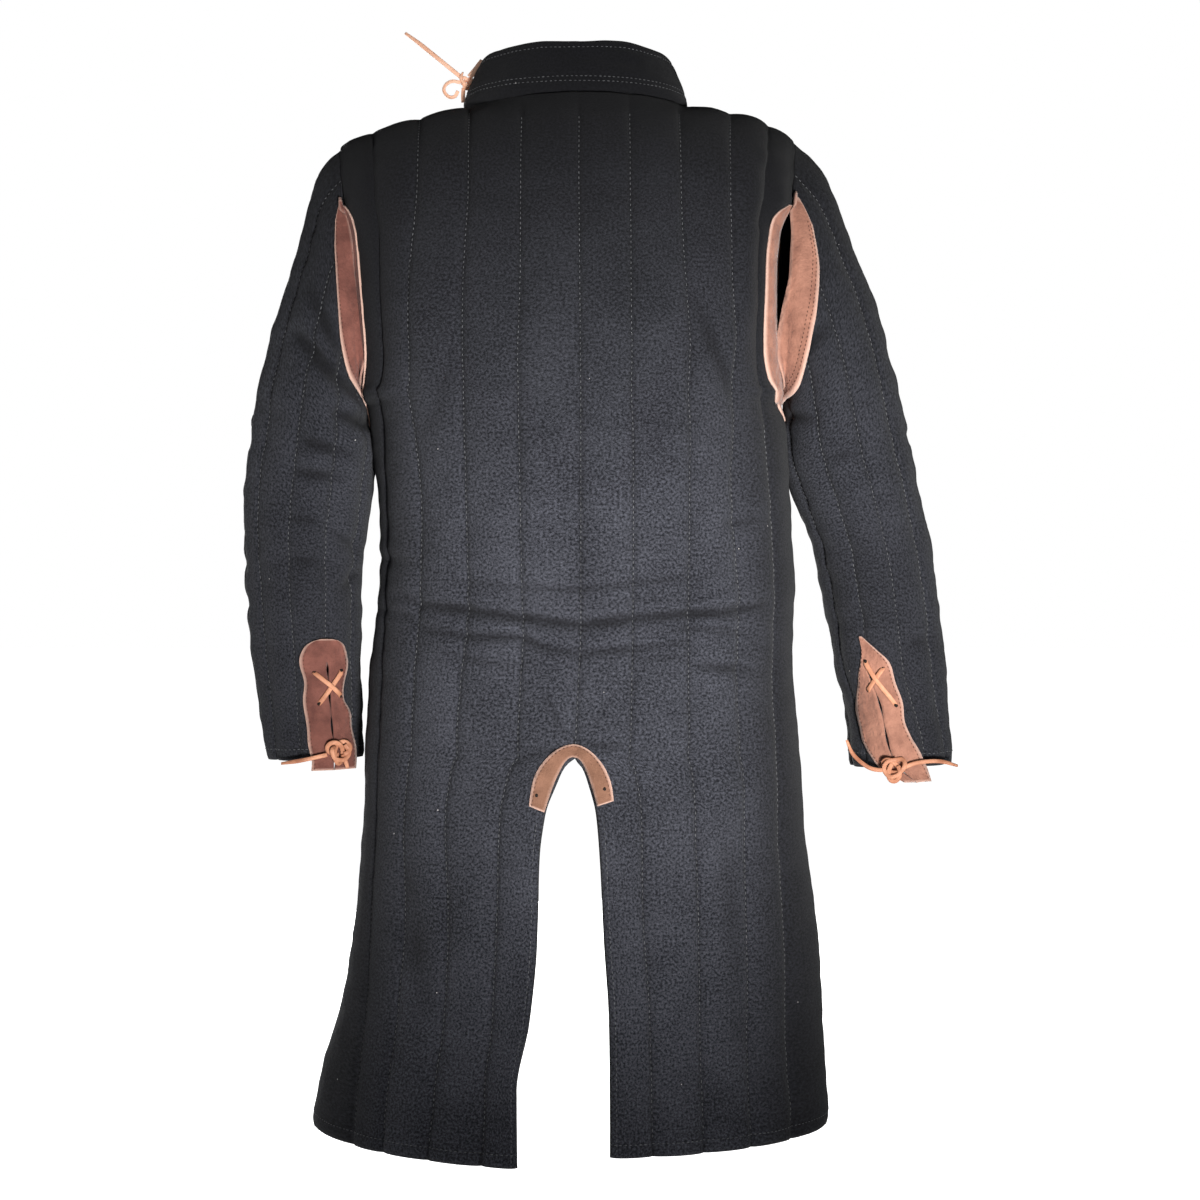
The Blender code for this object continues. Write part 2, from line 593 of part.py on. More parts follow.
def panel(name, face, slit_step, slit_from, cloth):
    """The back or front: a sheet from hem to shoulder, slit in the skirt and, in front, at the neck."""
    heights = body_heights()

    def key(column, row, part):
        height = heights[row]
        if column == 0 and height < SLIT_TOP:
            return column, row, part
        if column == slit_step and height > slit_from:
            return column, row, part
        return column, row, 0

    squares = []
    for row in range(len(heights) - 1):
        for column in range(-STEPS, STEPS):
            squares.append([
                key(column, row, 1),
                key(column + 1, row, -1),
                key(column + 1, row + 1, -1),
                key(column, row + 1, 1),
            ])

    def moved(point, column, row, part):
        if column == slit_step and part:
            point.x += part * neck_slit_half(heights[row])
        return point

    def outside(at):
        column, row, part = at
        half = part if column == 0 else 0
        return moved(body_outer(face, column / STEPS, heights[row], half), column, row, part)

    def inside(at):
        column, row, part = at
        half = part if column == 0 else 0
        return moved(body_inner(face, column / STEPS, heights[row], half), column, row, part)

    return wall(name, squares, outside, inside, cloth)


def neck_slit_half(v):
    """Half of the neck slit's gap: it closes towards its lower end."""
    return 0.0012 + 0.0018 * step(NECK_SLIT_TO, -0.10, v)


def sleeve(name, side, cloth):
    rows = [n / 2 for n in range(19)] + [CUFF_SLIT_FROM, 10.2, 10.8, 11.4, 12]
    step_angle = 360 / SLEEVE_COLUMNS
    squares = []

    def key(column, row, part):
        if column % SLEEVE_COLUMNS == 0 and rows[row] > CUFF_SLIT_FROM:
            return 0, row, part
        return column % SLEEVE_COLUMNS, row, 0

    for row in range(len(rows) - 1):
        for column in range(SLEEVE_COLUMNS):
            squares.append([
                key(column, row, 1),
                key(column + 1, row, -1),
                key(column + 1, row + 1, -1),
                key(column, row + 1, 1),
            ])

    def place(at):
        column, row, part = at
        gap = part * cuff_gap(rows[row])
        return CUFF_SLIT_ANGLE + column * step_angle + gap, rows[row]

    return wall(
        name, squares,
        lambda at: sleeve_outer(side, *place(at)),
        lambda at: sleeve_inner(side, *place(at)),
        cloth,
    )


def cuff_gap(along):
    """Half of the cuff slit's gap, in degrees round the arm."""
    return 1.6 + 1.8 * step(CUFF_SLIT_FROM, 12, along)


def strip(name, rows, on_surface, leather):
    """A leather strip that lies on the cloth: each row holds the places across it."""
    squares = [
        [(n, m), (n + 1, m), (n + 1, m + 1), (n, m + 1)]
        for n in range(len(rows) - 1)
        for m in range(len(rows[0]) - 1)
    ]
    return wall(
        name, squares,
        lambda at: on_surface(rows[at[0]][at[1]], CLEAR + LEATHER),
        lambda at: on_surface(rows[at[0]][at[1]], CLEAR),
        leather,
    )


def between(near, far, t):
    return tuple(a + (b - a) * t for a, b in zip(near, far))


def underarm_body_trim(name, side, leather):
    """The strip round the body's free armhole edge, from the back seam down and up to the front seam."""
    half = []
    for n, band in enumerate(BODY_BAND):
        near = (1.0 if n else BODY_BAND_FIRST, band.edge)
        half.append((near, (1.0 - band.width, band.far)))
    outline = [((1, *near), (1, *far)) for near, far in half]
    outline.append(tuple((0, 1.0, height) for height in BODY_BAND_UNDER))
    outline += [((-1, *near), (-1, *far)) for near, far in reversed(half)]
    rows = [(near, between(near, far, 0.5), far) for near, far in outline]

    def on_surface(at, lift):
        turn, across, v = at
        if turn == 0:
            back = body_outer(1, side * across, v, 0, lift + UNDERARM_BODY_LIFT)
            front = body_outer(-1, side * across, v, 0, lift + UNDERARM_BODY_LIFT)
            return (back + front) / 2
        return body_outer(turn, side * across, v, 0, lift + UNDERARM_BODY_LIFT)

    return strip(name, rows, on_surface, leather)


def underarm_sleeve_trim(name, side, leather):
    """The strip round the free edge of the sleeve's head, under the arm."""
    rows = []
    for angle in np.linspace(SLEEVE_BAND_FROM, SLEEVE_BAND_TO, SLEEVE_BAND_COLUMNS + 1):
        share = (angle - SLEEVE_BAND_FROM) / (SLEEVE_BAND_TO - SLEEVE_BAND_FROM)
        last = SLEEVE_BAND_LAST + SLEEVE_BAND_DROP * math.sin(math.pi * share) ** 3
        rows.append([(float(angle), along) for along in SLEEVE_BAND_RINGS + [last]])

    def on_surface(at, lift):
        return sleeve_outer(side, at[0], at[1], lift + UNDERARM_SLEEVE_LIFT)

    return strip(name, rows, on_surface, leather)


def cuff_trim(name, side, leather):
    """The leather round a cuff's slit: a strip on each side, joined above it in an arch."""
    rows = CUFF_TRIM_ROWS + [Tongue(12.0 + LEATHER_BELOW_CUFF[side], 1.0)]
    columns = [-1.0, -0.5, 0.0, 0.5, 1.0]

    def key(column, row, part):
        return column, row, part if columns[column] == 0 and row >= CUFF_TRIM_SPLIT else 0

    squares = []
    for row in range(len(rows) - 1):
        for column in range(len(columns) - 1):
            squares.append([
                key(column, row, 1),
                key(column + 1, row, -1),
                key(column + 1, row + 1, -1),
                key(column, row + 1, 1),
            ])

    def place(at):
        column, row, part = at
        along, width = rows[row]
        gap = part * cuff_gap(along)
        return CUFF_SLIT_ANGLE + columns[column] * CUFF_TRIM_HALF * width + gap, along

    return wall(
        name, squares,
        lambda at: sleeve_outer(side, *place(at), CLEAR + LEATHER),
        lambda at: sleeve_outer(side, *place(at), CLEAR),
        leather,
    )


def back_at(x, z, lift):
    """The point above the back panel that stands over a given x and height."""
    side = 1 if x >= smooth(BODY, "centre", z) else -1
    low, high = 0.0, 0.6
    half = side
    for _ in range(30):
        middle = (low + high) / 2
        if side * (body_point(1, side * middle, z, half).x - x) < 0:
            low = middle
        else:
            high = middle
    return body_outer(1, side * low, z, half, lift)


def slit_arch(name, leather):
    """The leather arch sewn over the top of the back slit."""
    rows = [((a.inner_x, a.inner_z), (a.outer_x, a.outer_z)) for a in ARCH]
    return strip(name, rows, lambda at, lift: back_at(at[0], at[1], lift), leather)


def neck_trim(name, leather):
    """The leather round the neck slit in the front: a strip on each side, joined below it."""
    across = NECK_STEP / STEPS
    heights = NECK_TRIM_ROWS
    columns = [-1, 0, 1]

    def key(column, row, part):
        return column, row, part if columns[column] == 0 and row > NECK_TRIM_SPLIT else 0

    squares = []
    for row in range(len(heights) - 1):
        for column in range(len(columns) - 1):
            squares.append([
                key(column, row, 1),
                key(column + 1, row, -1),
                key(column + 1, row + 1, -1),
                key(column, row + 1, 1),
            ])

    def on_surface(at, lift):
        column, row, part = at
        v = heights[row]
        point = body_outer(-1, across + columns[column] * NECK_TRIM_HALF, v, 0, lift)
        point.x += part * neck_slit_half(v)
        return point

    return wall(
        name, squares,
        lambda at: on_surface(at, CLEAR + LEATHER),
        lambda at: on_surface(at, CLEAR),
        leather,
    )


def collar_point(turn, up):
    """A point on the outside of the collar: turn 0 is the wearer's left, 90 the back, up 0 to 1."""
    angle = math.radians(turn)
    middle = smooth(BODY, "centre", SHOULDER_Z)
    face = 1 if math.sin(angle) >= 0 else -1
    inward = abs(math.sin(angle))
    side = 1 if math.cos(angle) >= 0 else -1
    wide = abs(corner(side) - middle) + COLLAR_WIDER[side]
    deep = NECK_DEPTH[face]
    foot = NECK_SIDE_Z + (NECK_Z[face] - NECK_SIDE_Z) * inward**2 + COLLAR_CLEAR
    tall = COLLAR_SIDE_HEIGHT + (COLLAR_HEIGHT[face] - COLLAR_SIDE_HEIGHT) * inward
    shrink = COLLAR_LEAN * up ** 1.3 / wide
    x = middle + wide * (1 - shrink) * math.cos(angle)
    y = deep * (1 - 0.4 * shrink) * math.sin(angle)
    return Vector((x, y, foot + tall * up))


def collar(name, cloth):
    rows = COLLAR_ROWS
    open_turn = 360 - 2 * COLLAR_GAP
    turns = [COLLAR_SLIT + COLLAR_GAP + open_turn * n / COLLAR_COLUMNS for n in range(COLLAR_COLUMNS + 1)]
    squares = [
        [(n, m), (n + 1, m), (n + 1, m + 1), (n, m + 1)]
        for n in range(COLLAR_COLUMNS)
        for m in range(len(rows) - 1)
    ]

    def outward(at):
        turn = turns[at[0]]
        a, b = collar_point(turn - 2, rows[at[1]]), collar_point(turn + 2, rows[at[1]])
        return Vector((b.y - a.y, a.x - b.x, 0.0)).normalized()

    def full(at):
        return COLLAR_FULL if 0 < at[1] < len(rows) - 1 else 0.0

    return wall(
        name, squares,
        lambda at: collar_point(turns[at[0]], rows[at[1]]) + outward(at) * full(at),
        lambda at: collar_point(turns[at[0]], rows[at[1]]) - outward(at) * COLLAR_WALL,
        cloth,
    )


def curve_through(points, spacing):
    """Even points along a smooth curve through a route's own points."""
    path = [Vector(p) for p in points]
    path = [path[0] * 2 - path[1]] + path + [path[-1] * 2 - path[-2]]
    fine = []
    for a, b, c, d in zip(path, path[1:], path[2:], path[3:]):
        for n in range(16):
            t = n / 16
            fine.append(0.5 * (2 * b + (c - a) * t + (2 * a - 5 * b + 4 * c - d) * t**2
                               + (3 * b - a - 3 * c + d) * t**3))
    fine.append(path[-2])
    along = np.concatenate([[0.0], np.cumsum([(q - p).length for p, q in zip(fine, fine[1:])])])
    count = max(3, round(along[-1] / spacing) + 1)
    places = np.linspace(0.0, along[-1], count)
    return [Vector([np.interp(at, along, [p[axis] for p in fine]) for axis in range(3)]) for at in places]


def lace(name, points, thong):
    """A round-edged thong along a route, as a tube with closed ends."""
    curve = bpy.data.curves.new(name, "CURVE")
    curve.dimensions = "3D"
    curve.bevel_depth = LACE / 2
    curve.bevel_resolution = 2
    curve.use_fill_caps = True
    spline = curve.splines.new("POLY")
    route = curve_through(points, 2.4 * LACE)
    spline.points.add(len(route) - 1)
    for place, point in zip(spline.points, route):
        place.co = (*point, 1.0)
    curve.materials.append(thong)
    obj = bpy.data.objects.new(name, curve)
    bpy.context.scene.collection.objects.link(obj)


def lace_cross(cross, thong):
    """A strand from an eyelet on one side of a cuff slit to one on the other side."""
    count = 6
    points = []
    for n in range(count + 1):
        t = n / count
        angle = CUFF_SLIT_ANGLE + cross.from_turn + (cross.to_turn - cross.from_turn) * t
        along = cross.from_ring + (cross.to_ring - cross.from_ring) * t
        lift = CLEAR + LEATHER + LACE / 2 + 0.0010 + cross.rise * math.sin(math.pi * t) ** 2
        points.append(sleeve_outer(cross.side, angle, along, lift))
    lace(cross.name, points, thong)


def lump(name, place, half, turn, thong):
    """A rounded knot, squashed to its half-sizes and turned to its place."""
    mesh = bmesh.new()
    bmesh.ops.create_uvsphere(mesh, u_segments=12, v_segments=8, radius=1.0)
    bmesh.ops.scale(mesh, verts=mesh.verts[:], vec=half)
    bmesh.ops.rotate(mesh, verts=mesh.verts[:], cent=(0, 0, 0), matrix=turn)
    bmesh.ops.translate(mesh, verts=mesh.verts[:], vec=place)
    finished(name, mesh, thong)


def knot_place(knot):
    """Middle and turn of a knot that sits on the leather beside a cuff's slit."""
    lift = CLEAR + LEATHER + knot.half_deep + knot.clear
    place = sleeve_outer(knot.side, knot.angle, knot.ring, lift)
    outward = sleeve_normal(knot.side, knot.angle, knot.ring)
    return place, outward.to_track_quat("Y", "Z").to_matrix()


def knot_exit(place, half, turn, toward):
    """Where a strand leaves a knot on its way to a point, just clear of it."""
    way = (Vector(toward) - place).normalized()
    local = turn.transposed() @ way
    reach = 1 / math.sqrt(sum((a / b) ** 2 for a, b in zip(local, half)))
    return place + way * (reach + KNOT_GAP)


def laces(thong):
    knots = {"collar_lace_knot": (COLLAR_KNOT, COLLAR_KNOT_HALF, Matrix.Identity(3))}
    for knot in KNOTS:
        place, turn = knot_place(knot)
        knots[knot.name] = (place, (knot.half_across, knot.half_deep, knot.half_along), turn)
    for name, (place, half, turn) in knots.items():
        lump(name, place, half, turn, thong)
    for strand in STRANDS:
        start = knot_exit(*knots[strand.knot], strand.points[0])
        lace(strand.name, [tuple(start)] + strand.points, thong)
    for cross in CROSSES:
        lace_cross(cross, thong)


def build():
    clear_scene()
    canvas = material("canvas", 0.95)
    leather = material("leather", 0.85)
    panel("back", 1, None, 0.0, canvas)
    panel("front", -1, NECK_STEP, NECK_SLIT_TO, canvas)
    collar("collar", canvas)
    slit_arch("back_slit_arch", leather)
    neck_trim("neck_slit_trim", leather)
    for side, word in ((1, "left"), (-1, "right")):
        sleeve(f"sleeve_{word}", side, canvas)
        underarm_body_trim(f"underarm_body_trim_{word}", side, leather)
        underarm_sleeve_trim(f"underarm_sleeve_trim_{word}", side, leather)
        cuff_trim(f"cuff_trim_{word}", side, leather)
    laces(material("lace", 0.8))


build()
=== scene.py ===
# %% [markdown]
# # A quilted gambeson, filled out as worn
# A gambeson is a padded coat. Two layers of canvas hold wadding between them, and long rows of
# stitching keep the wadding in channels. This lesson lays fine cloth over the imported model's walls.
# It starts with the frame and the camera.

# %% Load the frame
import json
import math
import random
from collections import namedtuple

import bmesh
import bpy
import numpy as np
from mathutils import Matrix, Vector, noise

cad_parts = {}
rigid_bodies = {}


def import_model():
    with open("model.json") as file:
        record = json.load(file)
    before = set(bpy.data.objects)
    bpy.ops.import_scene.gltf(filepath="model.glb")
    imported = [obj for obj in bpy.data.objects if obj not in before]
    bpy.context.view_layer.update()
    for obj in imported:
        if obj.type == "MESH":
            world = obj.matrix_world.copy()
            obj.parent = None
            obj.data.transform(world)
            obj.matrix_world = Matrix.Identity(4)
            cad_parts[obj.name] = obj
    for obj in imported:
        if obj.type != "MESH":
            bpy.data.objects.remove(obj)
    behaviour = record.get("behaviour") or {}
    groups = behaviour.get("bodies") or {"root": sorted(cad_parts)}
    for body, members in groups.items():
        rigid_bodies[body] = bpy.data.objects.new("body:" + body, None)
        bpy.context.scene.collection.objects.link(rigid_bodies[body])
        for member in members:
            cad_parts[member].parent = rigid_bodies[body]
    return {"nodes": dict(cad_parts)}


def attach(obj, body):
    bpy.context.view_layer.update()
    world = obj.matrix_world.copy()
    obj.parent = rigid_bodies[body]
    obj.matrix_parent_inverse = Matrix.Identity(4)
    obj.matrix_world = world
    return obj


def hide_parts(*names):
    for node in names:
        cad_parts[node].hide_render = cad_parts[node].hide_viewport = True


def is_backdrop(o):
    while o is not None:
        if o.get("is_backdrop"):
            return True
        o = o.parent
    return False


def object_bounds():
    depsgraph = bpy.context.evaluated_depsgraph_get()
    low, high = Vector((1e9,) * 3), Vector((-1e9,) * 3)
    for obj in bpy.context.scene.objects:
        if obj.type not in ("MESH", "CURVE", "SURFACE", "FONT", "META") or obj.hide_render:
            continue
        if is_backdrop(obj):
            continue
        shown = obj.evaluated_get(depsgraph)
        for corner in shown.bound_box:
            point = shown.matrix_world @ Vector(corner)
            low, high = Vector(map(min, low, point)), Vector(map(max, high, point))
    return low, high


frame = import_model()
cad_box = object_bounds()
print("nodes:", len(frame["nodes"]), "box:", cad_box)

# %% [markdown]
# ## Camera
# The photograph looks straight at the back from 2 m, level with the middle of the coat. A 60 mm lens
# on a 36 mm sensor takes in 1.2 m at that distance.

# %% Place the camera
CAMERA_PLACE = (-0.025, 2.0, -0.495)
lens = bpy.data.cameras.new("view")
lens.lens = 60.0
lens.sensor_width = 36.0
lens.clip_end = 50.0
camera = bpy.data.objects.new("view", lens)
camera.location = CAMERA_PLACE
camera.rotation_euler = (math.radians(90), 0.0, math.radians(180))
bpy.context.scene.collection.objects.link(camera)
bpy.context.scene.camera = camera
print("camera at", tuple(camera.location))

# %% [markdown]
# ## Materials: shared effects
# Three effects serve more than one finish, so each is a node group: the crossing threads of canvas,
# soft mottling from wear, and the pale lint that clings to dark cloth.

# %% Helpers for groups and nodes
def group_of(name, inputs, outputs):
    group = bpy.data.node_groups.new(name, "ShaderNodeTree")
    for label, kind, value in inputs:
        socket = group.interface.new_socket(label, in_out="INPUT", socket_type=kind)
        if value is not None:
            socket.default_value = value
    for label, kind in outputs:
        group.interface.new_socket(label, in_out="OUTPUT", socket_type=kind)
    return group, group.nodes.new("NodeGroupInput"), group.nodes.new("NodeGroupOutput")


def math_node(tree, operation, a, b=None, clamp=False):
    node = tree.nodes.new("ShaderNodeMath")
    node.operation = operation
    node.use_clamp = clamp
    for socket, value in zip(node.inputs, (a, b)):
        if value is None:
            continue
        if isinstance(value, (int, float)):
            socket.default_value = value
        else:
            tree.links.new(value, socket)
    return node.outputs[0]


def set_inputs(node, values):
    for label, value in values.items():
        node.inputs[label].default_value = value


def noise_node(tree, vector, scale, detail, roughness):
    node = tree.nodes.new("ShaderNodeTexNoise")
    set_inputs(node, {"Scale": scale, "Detail": detail, "Roughness": roughness})
    tree.links.new(vector, node.inputs["Vector"])
    return node.outputs["Fac"]


def ramp_node(tree, value, low, high):
    """A mask that grows from 0 at the low value to 1 at the high one."""
    node = tree.nodes.new("ShaderNodeMapRange")
    set_inputs(node, {"From Min": low, "From Max": high})
    tree.links.new(value, node.inputs["Value"])
    return node.outputs["Result"]

# %% Canvas weave: two sets of threads that cross
CROSSING_SHARE = 0.35
SLUB_SHARE = 0.9
SLUB_SCALE = 420.0


def weave_group():
    group, got, put = group_of(
        "canvas_weave",
        [("UV", "NodeSocketVector", None), ("Threads per metre", "NodeSocketFloat", 900.0)],
        [("Height", "NodeSocketFloat"), ("Shade", "NodeSocketFloat")],
    )
    split = group.nodes.new("ShaderNodeSeparateXYZ")
    group.links.new(got.outputs["UV"], split.inputs[0])
    turn = math_node(group, "MULTIPLY", got.outputs["Threads per metre"], 2 * math.pi)
    waves = []
    for axis in ("X", "Y"):
        phase = math_node(group, "MULTIPLY", split.outputs[axis], turn)
        waves.append(math_node(group, "SINE", phase))
    crossing = math_node(group, "MULTIPLY", waves[0], waves[1])
    slub = noise_node(group, got.outputs["UV"], SLUB_SCALE, 3.0, 0.7)
    height = math_node(group, "MULTIPLY_ADD", crossing, CROSSING_SHARE)
    height.node.inputs[2].default_value = 0.5
    height = math_node(group, "ADD", height, math_node(group, "MULTIPLY", slub, SLUB_SHARE))
    group.links.new(height, put.inputs["Height"])
    group.links.new(slub, put.inputs["Shade"])
    return group


WEAVE = weave_group()

# %% Mottling: slow changes of tone from wear and dust
def mottle_group():
    group, got, put = group_of(
        "mottle",
        [("Vector", "NodeSocketVector", None), ("Scale", "NodeSocketFloat", 9.0)],
        [("Mask", "NodeSocketFloat")],
    )
    patches = noise_node(group, got.outputs["Vector"], 1.0, 5.0, 0.62)
    group.links.new(got.outputs["Scale"], patches.node.inputs["Scale"])
    group.links.new(ramp_node(group, patches, 0.32, 0.68), put.inputs["Mask"])
    return group


MOTTLE = mottle_group()

# %% Lint: a few pale specks, one in many cells
SPECK_SIZE = 0.045
CELLS_LEFT_BARE = 0.93


def lint_group():
    group, got, put = group_of(
        "lint",
        [("Vector", "NodeSocketVector", None), ("Cells per metre", "NodeSocketFloat", 70.0)],
        [("Mask", "NodeSocketFloat")],
    )
    cells = group.nodes.new("ShaderNodeTexVoronoi")
    cells.feature = "F1"
    group.links.new(got.outputs["Vector"], cells.inputs["Vector"])
    group.links.new(got.outputs["Cells per metre"], cells.inputs["Scale"])
    parts = group.nodes.new("ShaderNodeSeparateColor")
    group.links.new(cells.outputs["Color"], parts.inputs[0])
    near = math_node(group, "LESS_THAN", cells.outputs["Distance"], SPECK_SIZE)
    rare = math_node(group, "GREATER_THAN", parts.outputs[0], CELLS_LEFT_BARE)
    group.links.new(math_node(group, "MULTIPLY", near, rare), put.inputs["Mask"])
    return group


LINT = lint_group()
print("node groups:", [g.name for g in bpy.data.node_groups])

# %% [markdown]
# ## Materials: the finishes
# Canvas takes its threads from the piece's own UV map, which is in metres, so they run with the cloth.
# Leather has a split, suede-like face and a pale cut edge, and the thongs are smoother and orange-tan.

# %% Small helpers for a finish
def blank(name, roughness, sheen=0.0, sheen_roughness=0.5, specular=0.3):
    """A new material, its tree, its shader, and the node that gives places on the piece."""
    made = bpy.data.materials.new(name)
    made.use_nodes = True
    tree = made.node_tree
    shader = tree.nodes["Principled BSDF"]
    set_inputs(shader, {
        "Roughness": roughness,
        "Metallic": 0.0,
        "Sheen Weight": sheen,
        "Sheen Roughness": sheen_roughness,
        "Specular IOR Level": specular,
    })
    return made, tree, shader, tree.nodes.new("ShaderNodeTexCoord")


def cut_edge_and_painted_shade(tree):
    """What the mesh marks on its points: pale cut edges of leather, and painted shade in the rows, folds,
    sides and lower sleeves of cloth.
    """
    node = tree.nodes.new("ShaderNodeAttribute")
    node.attribute_name = "edge"
    return node.outputs["Fac"]


def placed_group(tree, group, vector, value):
    node = tree.nodes.new("ShaderNodeGroup")
    node.node_tree = group
    tree.links.new(vector, node.inputs[0])
    node.inputs[1].default_value = value
    return node


def blend_colours(tree, mask, a, b):
    node = tree.nodes.new("ShaderNodeMix")
    node.data_type = "RGBA"
    for socket, value in ((node.inputs[0], mask), (node.inputs[6], a), (node.inputs[7], b)):
        if isinstance(value, (tuple, float)):
            socket.default_value = value
        else:
            tree.links.new(value, socket)
    return node.outputs[2]


def bump(tree, shader, height, distance, strength):
    node = tree.nodes.new("ShaderNodeBump")
    set_inputs(node, {"Strength": strength, "Distance": distance})
    tree.links.new(height, node.inputs["Height"])
    tree.links.new(node.outputs["Normal"], shader.inputs["Normal"])

# %% Black canvas
CANVAS_DARK = (0.0065, 0.0070, 0.0095, 1.0)
CANVAS_WORN = (0.0640, 0.0660, 0.0810, 1.0)
# Painted shade: the colour painted on the upper back, the sides, the lower sleeves, and in the rows and
# folds.
CANVAS_PAINTED_SHADE = (0.0050, 0.0050, 0.0060, 1.0)
LINT_PALE = (0.42, 0.40, 0.40, 1.0)
CANVAS_THREADS = 700.0  # threads in each metre
CANVAS_TONE = (0.26, 3.3, 1.40)  # share of wear, share of uneven thread, and what is taken off
SHADED_FROM_Z, SHADED_TO_Z = -0.42, -0.02  # painted shade: the cloth is painted darker over these heights up to the shoulders
SHADED_MOST = 0.92


def canvas_finish(name, dark, worn):
    made, tree, shader, where = blank(name, 0.92, sheen=0.04, sheen_roughness=0.6, specular=0.12)
    weave = placed_group(tree, WEAVE, where.outputs["UV"], CANVAS_THREADS)
    wear = placed_group(tree, MOTTLE, where.outputs["Object"], 14.0)
    lint = placed_group(tree, LINT, where.outputs["Object"], 70.0)
    tone = math_node(tree, "MULTIPLY", wear.outputs["Mask"], CANVAS_TONE[0])
    thread = math_node(tree, "MULTIPLY", weave.outputs["Shade"], CANVAS_TONE[1])
    tone = math_node(tree, "ADD", tone, thread)
    tone = math_node(tree, "SUBTRACT", tone, CANVAS_TONE[2], clamp=True)
    split = tree.nodes.new("ShaderNodeSeparateXYZ")
    tree.links.new(where.outputs["Object"], split.inputs[0])
    # Painted shade: the cloth is painted darker towards the shoulders.
    high = ramp_node(tree, split.outputs["Z"], SHADED_FROM_Z, SHADED_TO_Z)
    colour = blend_colours(tree, tone, dark, worn)
    colour = blend_colours(tree, math_node(tree, "MULTIPLY", high, SHADED_MOST), colour, CANVAS_PAINTED_SHADE)
    # Painted shade in the rows, folds, sides and lower sleeves that the mesh marks.
    colour = blend_colours(tree, cut_edge_and_painted_shade(tree), colour, CANVAS_PAINTED_SHADE)
    colour = blend_colours(tree, lint.outputs["Mask"], colour, LINT_PALE)
    tree.links.new(colour, shader.inputs["Base Color"])
    bump(tree, shader, weave.outputs["Height"], 0.0005, 0.8)
    return made


CANVAS = canvas_finish("canvas", CANVAS_DARK, CANVAS_WORN)
LINING = canvas_finish("lining", (0.006, 0.007, 0.014, 1.0), (0.020, 0.023, 0.038, 1.0))

# %% Leather with a pale cut edge
LEATHER_DARK = (0.070, 0.022, 0.017, 1.0)
LEATHER_PALE = (0.225, 0.084, 0.063, 1.0)
CUT_EDGE = (0.560, 0.360, 0.290, 1.0)


def leather_finish(name, dark, pale):
    made, tree, shader, where = blank(name, 0.82, sheen=0.15, specular=0.25)
    place = where.outputs["Object"]
    wear = placed_group(tree, MOTTLE, place, 45.0)
    nap = noise_node(tree, place, 900.0, 4.0, 0.7)
    tone = math_node(tree, "MULTIPLY", wear.outputs["Mask"], 0.7)
    tone = math_node(tree, "ADD", tone, math_node(tree, "MULTIPLY", nap, 0.35), clamp=True)
    colour = blend_colours(tree, tone, dark, pale)
    colour = blend_colours(tree, cut_edge_and_painted_shade(tree), colour, CUT_EDGE)
    tree.links.new(colour, shader.inputs["Base Color"])
    grain = noise_node(tree, place, 420.0, 5.0, 0.65)
    creased = placed_group(tree, MOTTLE, place, 80.0)
    height = math_node(tree, "ADD", grain, math_node(tree, "MULTIPLY", creased.outputs["Mask"], 1.6))
    bump(tree, shader, height, 0.0010, 0.8)
    return made


LEATHER = leather_finish("leather", LEATHER_DARK, LEATHER_PALE)
# Painted light: the right side's leather is a lighter copy of the left's, as the key light falls from the
# right.
RIGHT_LEATHER_PAINTED_LIGHTER = leather_finish("right_leather", (0.170, 0.072, 0.050, 1.0), (0.400, 0.190, 0.130, 1.0))
ARCH_LEATHER = leather_finish("arch_leather", (0.115, 0.052, 0.030, 1.0), (0.215, 0.105, 0.066, 1.0))

# %% Thongs, threads and holes
def plain_finish(name, dark, pale, scale, roughness):
    made, tree, shader, where = blank(name, roughness, specular=0.35)
    wear = placed_group(tree, MOTTLE, where.outputs["Object"], scale)
    colour = blend_colours(tree, wear.outputs["Mask"], dark + (1.0,), pale + (1.0,))
    tree.links.new(colour, shader.inputs["Base Color"])
    fine = noise_node(tree, where.outputs["Object"], 500.0, 3.0, 0.6)
    bump(tree, shader, fine, 0.0002, 0.6)
    return made


THONG = plain_finish("thong", (0.32, 0.115, 0.058), (0.72, 0.350, 0.210), 35.0, 0.62)
# Painted light: the collar's lace is a lighter copy of the thong, as little of the key light reaches the
# collar.
THONG_PAINTED_LIGHTER = plain_finish("pale_thong", (0.74, 0.360, 0.220), (0.98, 0.620, 0.450), 35.0, 0.62)
THREAD = plain_finish("thread", (0.045, 0.046, 0.050), (0.125, 0.128, 0.135), 55.0, 0.8)
TAN_THREAD = plain_finish("tan_thread", (0.045, 0.018, 0.012), (0.110, 0.045, 0.030), 90.0, 0.8)
# Painted shade: lace holes are near-black dashes, for the shade in each opening over the black cloth below.
HOLE_SHADE = plain_finish("hole", (0.006, 0.004, 0.003), (0.012, 0.008, 0.006), 90.0, 0.9)
print("finishes:", [m.name for m in bpy.data.materials if m.use_nodes][-7:])

# %% [markdown]
# ## Sizes of the garment
# The same named sections that shape the model's walls place the fine cloth: the body's outline at each
# height, the top line of the shoulders, the skirt's slit, the armhole's edge and the sleeves' rings.

# %% Driving sizes
SEAM = 0.00015
HEM_Z = -1.008
SHOULDER_Z = -0.105
OVER = 0.100
ARMPIT_Z = -0.300
SEAM_END_Z = -0.109
NECK_SHARE = 4 / 11
EVEN_SHARE = 6 / 11
NECK_DEPTH = {1: 0.077, -1: 0.084}
NECK_Z = {1: -0.006, -1: -0.026}
NECK_SIDE_Z = -0.006
RING_BELOW = 0.045
CUFF_SLIT_ANGLE = 120.0
CUFF_SLIT_FROM = 9.6
NECK_SLIT_TO = -0.220
SLIT_TOP = -0.643
FRONT_SLIT_MORE = 0.016


def table(kind, rows):
    """Rows of numbers as records with named places."""
    return [kind(*row) for row in rows]


